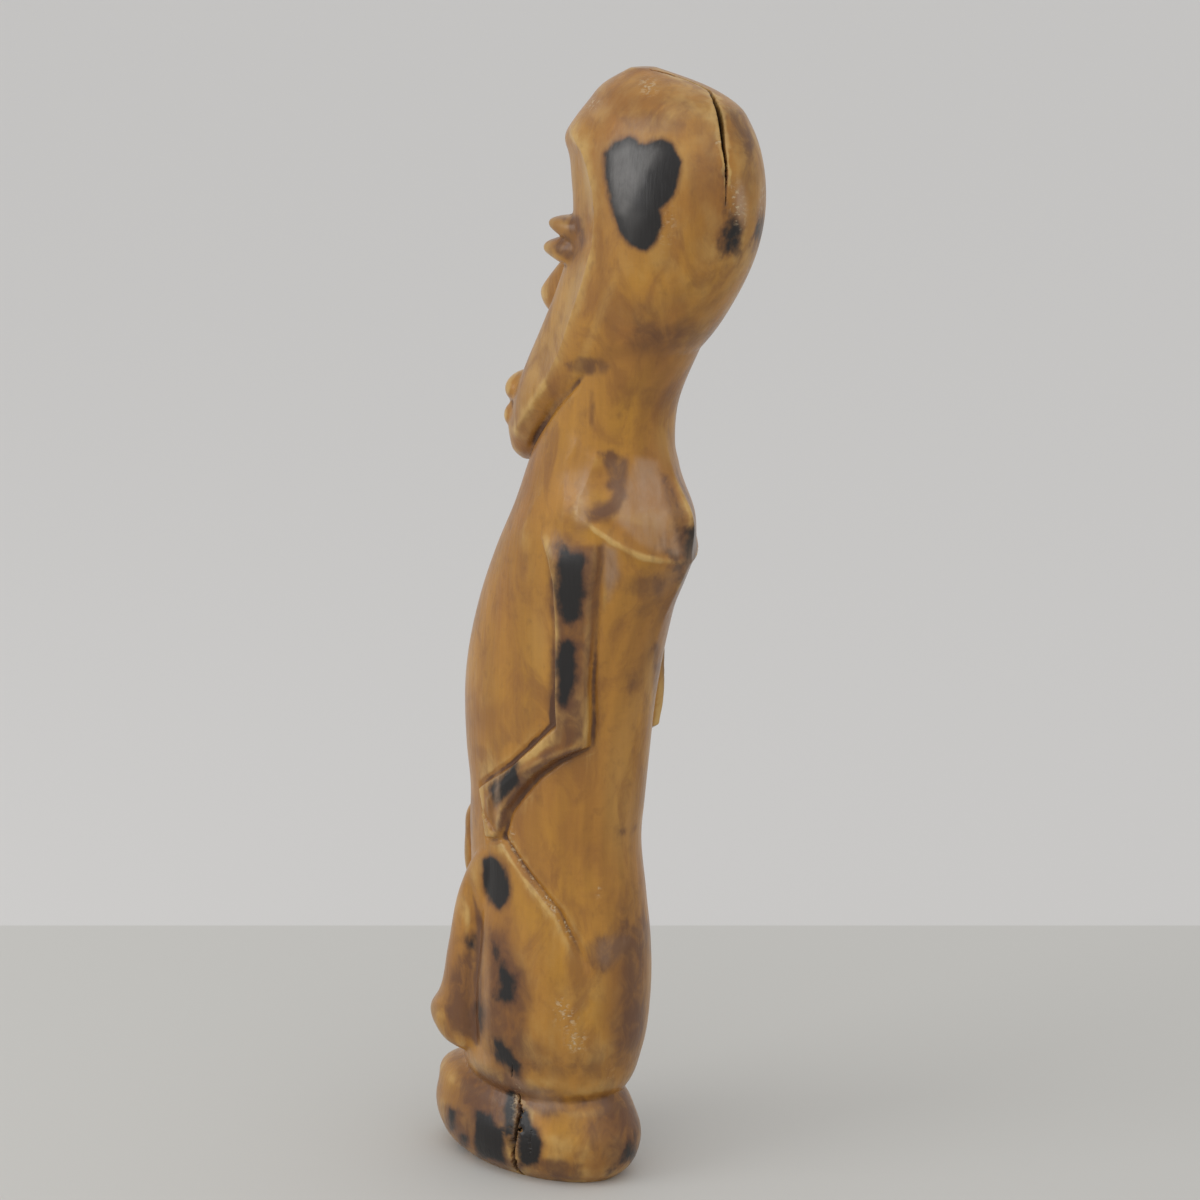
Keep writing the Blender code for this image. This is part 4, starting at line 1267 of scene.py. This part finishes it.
def surface_layers(tree, place, wear, burns, finish):
    """What lies over the clear wood, from the bottom up: where it shows, and its colour."""
    # Painted highlights of the pale marks, laid in the colour of rubbed wood.
    pale = sum_up(tree, (500, 1000), "MULTIPLY", mask_value(tree, (300, 1000), "pale"), PAINTED_HIGHLIGHT_SHARE)
    mottling = stretched_noise(tree, (100, 1300), place, MOTTLING)
    ruddy = ramp_between(tree, (450, 1300), mottling, *RISES["ruddy clouds"])
    ruddy = sum_up(tree, (650, 1300), "MAXIMUM", ruddy, mask_value(tree, (450, 1500), "ruddy"))
    blots = stretched_noise(tree, (100, 1800), place, BLOTS)
    # Stains, and painted shade where some patches darken under the forearm, the eyelids and beside
    # the knee.
    stain_and_painted_shade = uneven_mask(tree, (700, 1800), "stain_and_painted_shade", blots, "uneven stain")
    stain_and_painted_shade = ramp_between(tree, (900, 1800), stain_and_painted_shade, *RISES["stain_and_painted_shade"], finish.staining)
    halo = sum_up(tree, (1200, 1000), "MULTIPLY", burns.outputs["Halo"], BROWNED_SHARE)
    # Painted reflection: a grey sheen of the light laid into the colour of the char.
    painted_sheen = uneven_mask(tree, (1400, 1300), "painted_sheen", blots, "uneven sheen")
    charred = blend_colours(tree, (1600, 1300), painted_sheen, finish.char, finish.painted_sheen)
    # Pale bloom with painted highlights, streaked as light reflected along a facet.
    highlight_streaks = stretched_noise(tree, (1200, 1800), place, HIGHLIGHT_STREAKS)
    bloom_and_painted_highlight = uneven_mask(tree, (1800, 1800), "bloom_and_painted_highlight", highlight_streaks, "uneven bloom")
    return (
        (wear.outputs["Rubbed"], finish.rubbed),
        # The painted highlights, in the colour of rubbed wood.
        (pale, finish.rubbed),
        (ruddy, finish.ruddy),
        (stain_and_painted_shade, finish.stain_and_painted_shade),
        # Darker in hollows: partly dirt, partly painted shade.
        (wear.outputs["Dirt and painted shade"], finish.dirt_and_painted_shade),
        (halo, finish.browned),
        (burns.outputs["Char"], charred),
        (bloom_and_painted_highlight, finish.bloom_and_painted_highlight),
        (wear.outputs["Chips"], finish.chipped),
    )


def polish(tree, shader, wear, cracked, finish):
    """The low polish of the wood, duller in the darkened hollows and in cracks, and lightly
    scratched.
    """
    dull = sum_up(tree, (1400, 0), "MAXIMUM", wear.outputs["Dirt and painted shade"], cracked)
    gloss = ramp_between(tree, (1600, 0), dull, 0.0, 1.0, finish.roughness, DULL_ROUGHNESS)
    worn = ramp_between(tree, (1600, -200), wear.outputs["Scratches"], *RISES["scratched polish"])
    tree.links.new(sum_up(tree, (1900, 0), "ADD", gloss, worn), shader.inputs["Roughness"])
    shader.inputs["Coat Weight"].default_value = COAT_WEIGHT
    shader.inputs["Coat Roughness"].default_value = COAT_ROUGHNESS
    shader.inputs["Specular IOR Level"].default_value = SPECULAR_LEVEL


def fine_relief(tree, shader, grain, wear):
    """The relief that is too fine for the skin itself: streaks, scratches and chips."""
    height = grain.outputs["Broad streaks"]
    for step, (operation, pattern, share) in enumerate((
        ("ADD", grain.outputs["Fine streaks"], FINE_RELIEF),
        ("ADD", wear.outputs["Scratches"], SCRATCH_RELIEF),
        ("SUBTRACT", wear.outputs["Chips"], CHIP_RELIEF),
    )):
        part = sum_up(tree, (1400 + 200 * step, -700), "MULTIPLY", pattern, share)
        height = sum_up(tree, (1550 + 200 * step, -500), operation, height, part)
    inputs = {"Height": height, "Strength": RELIEF_STRENGTH, "Distance": RELIEF_HEIGHT}
    bump = add_node(tree, "ShaderNodeBump", (2300, -500), inputs)
    tree.links.new(bump.outputs["Normal"], shader.inputs["Normal"])


def wood_material(finish):
    """Honey coloured hardwood, burnt, stained and rubbed to a low polish."""
    material = bpy.data.materials.new("honey_hardwood")
    material.use_nodes = True
    tree = material.node_tree
    shader = tree.nodes["Principled BSDF"]
    shader.location = (2600, 0)
    place = add_node(tree, "ShaderNodeTexCoord", (-1400, 0)).outputs["Object"]
    grain = place_group(tree, 300, grain_group(), place, {})
    burns = place_group(tree, -100, burn_group(), place, {"Depth": "burn", "Smoke": "smoke"})
    wear = place_group(
        tree, -600, wear_group(), place, {"Hollow": "hollow", "Proud": "proud", "Chipped": "chips"}
    )
    cracked = mask_value(tree, (2100, 500), "crack")
    colour = clear_wood(tree, place, grain, finish)
    # The last layer is the painted dark shade inside the cracks.
    layers = (*surface_layers(tree, place, wear, burns, finish), (cracked, finish.crack))
    for step, (share, layer) in enumerate(layers):
        colour = blend_colours(tree, (800 + 160 * step, 700), share, colour, layer)
    tree.links.new(colour, shader.inputs["Base Color"])
    polish(tree, shader, wear, cracked, finish)
    fine_relief(tree, shader, grain, wear)
    return material


class CarvedFigureSizes(bpy.types.PropertyGroup):
    """Sizes of the figure that a user may change."""

    height: bpy.props.FloatProperty(
        name="Height",
        description="Height of the figure with its base",
        default=HIGH_CORNER.z - LOW_CORNER.z,
        unit="LENGTH",
    )
    grain: bpy.props.FloatProperty(
        name="Blank grain",
        description="Fineness of the skin of the blank, in parts of the height",
        default=0.36,
    )
    faces_kept: bpy.props.IntProperty(
        name="Faces kept",
        description="Number of triangles that the carved skin keeps",
        default=170000,
    )


def colour_property(name, description, value):
    """A colour that a user may change."""
    return bpy.props.FloatVectorProperty(
        name=name, description=description, default=(*value, 1.0), subtype="COLOR", size=4,
        min=0.0, max=1.0,
    )


class CarvedFigureFinish(bpy.types.PropertyGroup):
    """Colours and polish of the wood that a user may change."""

    honey: colour_property("Honey", "Colour of the clear wood", (0.43, 0.2, 0.033))
    brown: colour_property("Brown", "Colour of the darker clouds in the wood", (0.34, 0.146, 0.03))
    gold: colour_property("Gold", "Colour of the golden patches", (0.47, 0.228, 0.026))
    ruddy: colour_property("Ruddy", "Colour of the redder clouds", (0.235, 0.094, 0.025))
    # Dark stains, also used as painted shade under the forearm, on the eyelids and beside the knee.
    stain_and_painted_shade: colour_property("Stain", "Colour of the dark stains", (0.115, 0.048, 0.025))
    # Also the colour of the painted highlights laid by the pale marks.
    rubbed: colour_property("Rubbed", "Colour of edges rubbed bright", (0.58, 0.36, 0.115))
    # Darker colour in hollows: partly dirt, partly painted shade.
    dirt_and_painted_shade: colour_property("Dirt and painted shade", "Colour of dirt held in hollows", (0.11, 0.048, 0.022))
    browned: colour_property("Browned", "Colour of wood browned by heat", (0.12, 0.048, 0.022))
    char: colour_property("Char", "Colour of burnt wood", (0.013, 0.0112, 0.0112))
    # Painted reflection: the grey colour laid on burnt wood for the sheen of the light.
    painted_sheen: colour_property("Sheen", "Colour of the grey sheen on burnt wood", (0.135, 0.128, 0.123))
    # Pale bloom of the wood, partly painted highlights and reflections of the light.
    bloom_and_painted_highlight: colour_property("Bloom", "Colour of the pale bloom on the wood", (0.47, 0.31, 0.2))
    chipped: colour_property("Chipped", "Colour of chips and dust", (0.6, 0.45, 0.27))
    # Painted shade: near black laid inside the cracks.
    crack: colour_property("Crack", "Colour inside the cracks", (0.02, 0.014, 0.01))
    roughness: bpy.props.FloatProperty(
        name="Roughness", description="Roughness of the polished wood", default=0.34,
        subtype="FACTOR", min=0.0, max=1.0,
    )
    staining: bpy.props.FloatProperty(
        name="Staining", description="Strength of the dark stains", default=0.85,
        subtype="FACTOR", min=0.0, max=1.0,
    )


class FIGURE_OT_carve(bpy.types.Operator):
    """Carve the figure from its blank, crack it, burn it and polish it"""

    bl_idname = "carved_figure.carve"
    bl_label = "Carve Figure"

    def execute(self, context):
        sizes = context.scene.carved_figure_sizes
        figure = make_blank(sizes.grain)
        carve(figure)
        triangles = sum(len(face.vertices) - 2 for face in figure.data.polygons)
        if triangles > sizes.faces_kept:
            apply_modifier(figure, "fewer faces", "DECIMATE", ratio=sizes.faces_kept / triangles)
        saw_underside(figure)
        open_cracks(figure)
        mark_burns(figure)
        mark_stains(figure)
        mark_wear(figure)
        points, _ = read_points(figure)
        write_points(figure, (points - (0.0, 0.0, UNDERSIDE)) * sizes.height / PARTS)
        figure.data.shade_smooth()
        figure.data.materials.clear()
        figure.data.materials.append(wood_material(context.scene.carved_figure_finish))
        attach(figure, "root")
        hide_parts("carved_figure")
        return {"FINISHED"}


class CarvedFigureStudio(bpy.types.PropertyGroup):
    """Colours and light of the studio that a user may change."""

    table: colour_property("Table", "Colour of the table top", (0.6, 0.592, 0.566))
    wall: colour_property("Wall", "Colour of the wall beyond the table", (0.69, 0.68, 0.668))
    sky: bpy.props.FloatProperty(
        name="Sky", description="Strength of the light from all round", default=0.6, min=0.0
    )
    sun: bpy.props.FloatProperty(
        name="Sun", description="Strength of the soft light from above", default=0.75, min=0.0
    )
    window: bpy.props.FloatProperty(
        name="Window", description="Power of the soft light from the left", default=1.9,
        subtype="POWER", min=0.0,
    )


def stage_place(aside, height, nearer):
    """A place given by how far it lies to the picture's right, how high, and how near."""
    _, right, _, _ = camera_axes()
    towards = np.array(TOWARDS_CAMERA)
    return Vector(right * aside + towards * nearer + np.array((0.0, 0.0, height)))


def stage_turn(place):
    """The turn of a lamp that shines from a place of the stage towards the figure's middle."""
    return (Vector(FIGURE_MIDDLE) - stage_place(*place)).to_track_quat("-Z", "Y").to_euler()


def add_soft_light(name, place, power, size):
    """A square lamp with a soft light, turned towards the figure's middle."""
    bpy.ops.object.light_add(
        type="AREA", location=stage_place(*place), rotation=stage_turn(place)
    )
    lamp = bpy.context.object
    lamp.name = name
    lamp.data.energy = power
    lamp.data.size = size


def stage_material(studio):
    """The pale table top, and the lighter wall that starts beyond it."""
    material = bpy.data.materials.new("pale_stage")
    material.use_nodes = True
    tree = material.node_tree
    shader = tree.nodes["Principled BSDF"]
    place = add_node(tree, "ShaderNodeTexCoord", (-900, 0)).outputs["Object"]
    near = add_node(
        tree,
        "ShaderNodeVectorMath",
        (-700, 0),
        {0: place, 1: TOWARDS_CAMERA},
        operation="DOT_PRODUCT",
    ).outputs["Value"]
    beyond = ramp_between(tree, (-500, 0), near, WALL_LINE + WALL_BLUR, WALL_LINE - WALL_BLUR)
    colour = blend_colours(tree, (-300, 0), beyond, studio.table, studio.wall)
    tree.links.new(colour, shader.inputs["Base Color"])
    shader.inputs["Roughness"].default_value = STAGE_ROUGHNESS
    shader.inputs["Specular IOR Level"].default_value = STAGE_SPECULAR
    return material


class FIGURE_OT_set_stage(bpy.types.Operator):
    """Set the floor, the lights and the camera"""

    bl_idname = "carved_figure.set_stage"
    bl_label = "Set Stage"

    def execute(self, context):
        studio = context.scene.carved_figure_studio
        place, _, _, _ = camera_axes()
        bpy.ops.object.select_all(action="DESELECT")
        bpy.ops.object.camera_add(
            location=place,
            rotation=(math.pi / 2 - CAMERA_DIP, 0.0, math.pi / 2 + CAMERA_TURN),
        )
        camera = context.object
        camera.name = "picture_camera"
        camera.data.sensor_width = SENSOR_WIDTH
        camera.data.lens = SENSOR_WIDTH * FOCAL_LENGTH / PICTURE_SIDE
        camera.data.clip_start = CAMERA_START
        context.scene.camera = camera

        bpy.ops.mesh.primitive_plane_add(size=FLOOR_SIZE, location=(0.0, 0.0, 0.0))
        floor = context.object
        floor.name = "floor"
        floor.data.materials.append(stage_material(studio))

        world = bpy.data.worlds.new("studio")
        context.scene.world = world
        world.use_nodes = True
        sky = world.node_tree.nodes["Background"]
        sky.inputs["Color"].default_value = (1.0, 1.0, 1.0, 1.0)
        sky.inputs["Strength"].default_value = studio.sky
        bpy.ops.object.light_add(type="SUN", rotation=stage_turn(SUN_PLACE))
        sun = context.object
        sun.name = "soft_sun"
        sun.data.energy = studio.sun
        sun.data.angle = SUN_SPREAD
        add_soft_light("left_window", WINDOW_PLACE, studio.window, WINDOW_SIZE)
        context.scene.view_settings.view_transform = "Standard"
        return {"FINISHED"}


SETTINGS = {
    "carved_figure_sizes": CarvedFigureSizes,
    "carved_figure_finish": CarvedFigureFinish,
    "carved_figure_studio": CarvedFigureStudio,
}


class FIGURE_PT_panel(bpy.types.Panel):
    """Lists the figure's sizes, colours and light, and its makers"""

    bl_idname = "FIGURE_PT_panel"
    bl_label = "Carved Figure"
    bl_space_type = "VIEW_3D"
    bl_region_type = "UI"
    bl_category = "Figure"

    def draw(self, context):
        for setting, kind in SETTINGS.items():
            for name in kind.__annotations__:
                self.layout.prop(getattr(context.scene, setting), name)
        self.layout.operator("carved_figure.carve")
        self.layout.operator("carved_figure.set_stage")


CLASSES = (*SETTINGS.values(), FIGURE_OT_carve, FIGURE_OT_set_stage, FIGURE_PT_panel)


def register():
    for each in CLASSES:
        bpy.utils.register_class(each)
    for setting, kind in SETTINGS.items():
        setattr(bpy.types.Scene, setting, bpy.props.PointerProperty(type=kind))


def unregister():
    for setting in SETTINGS:
        delattr(bpy.types.Scene, setting)
    for each in reversed(CLASSES):
        bpy.utils.unregister_class(each)


def main():
    """Registers the add-on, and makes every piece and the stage."""
    register()
    bpy.ops.carved_figure.carve()
    bpy.ops.carved_figure.set_stage()


if __name__ == "__main__":
    main()
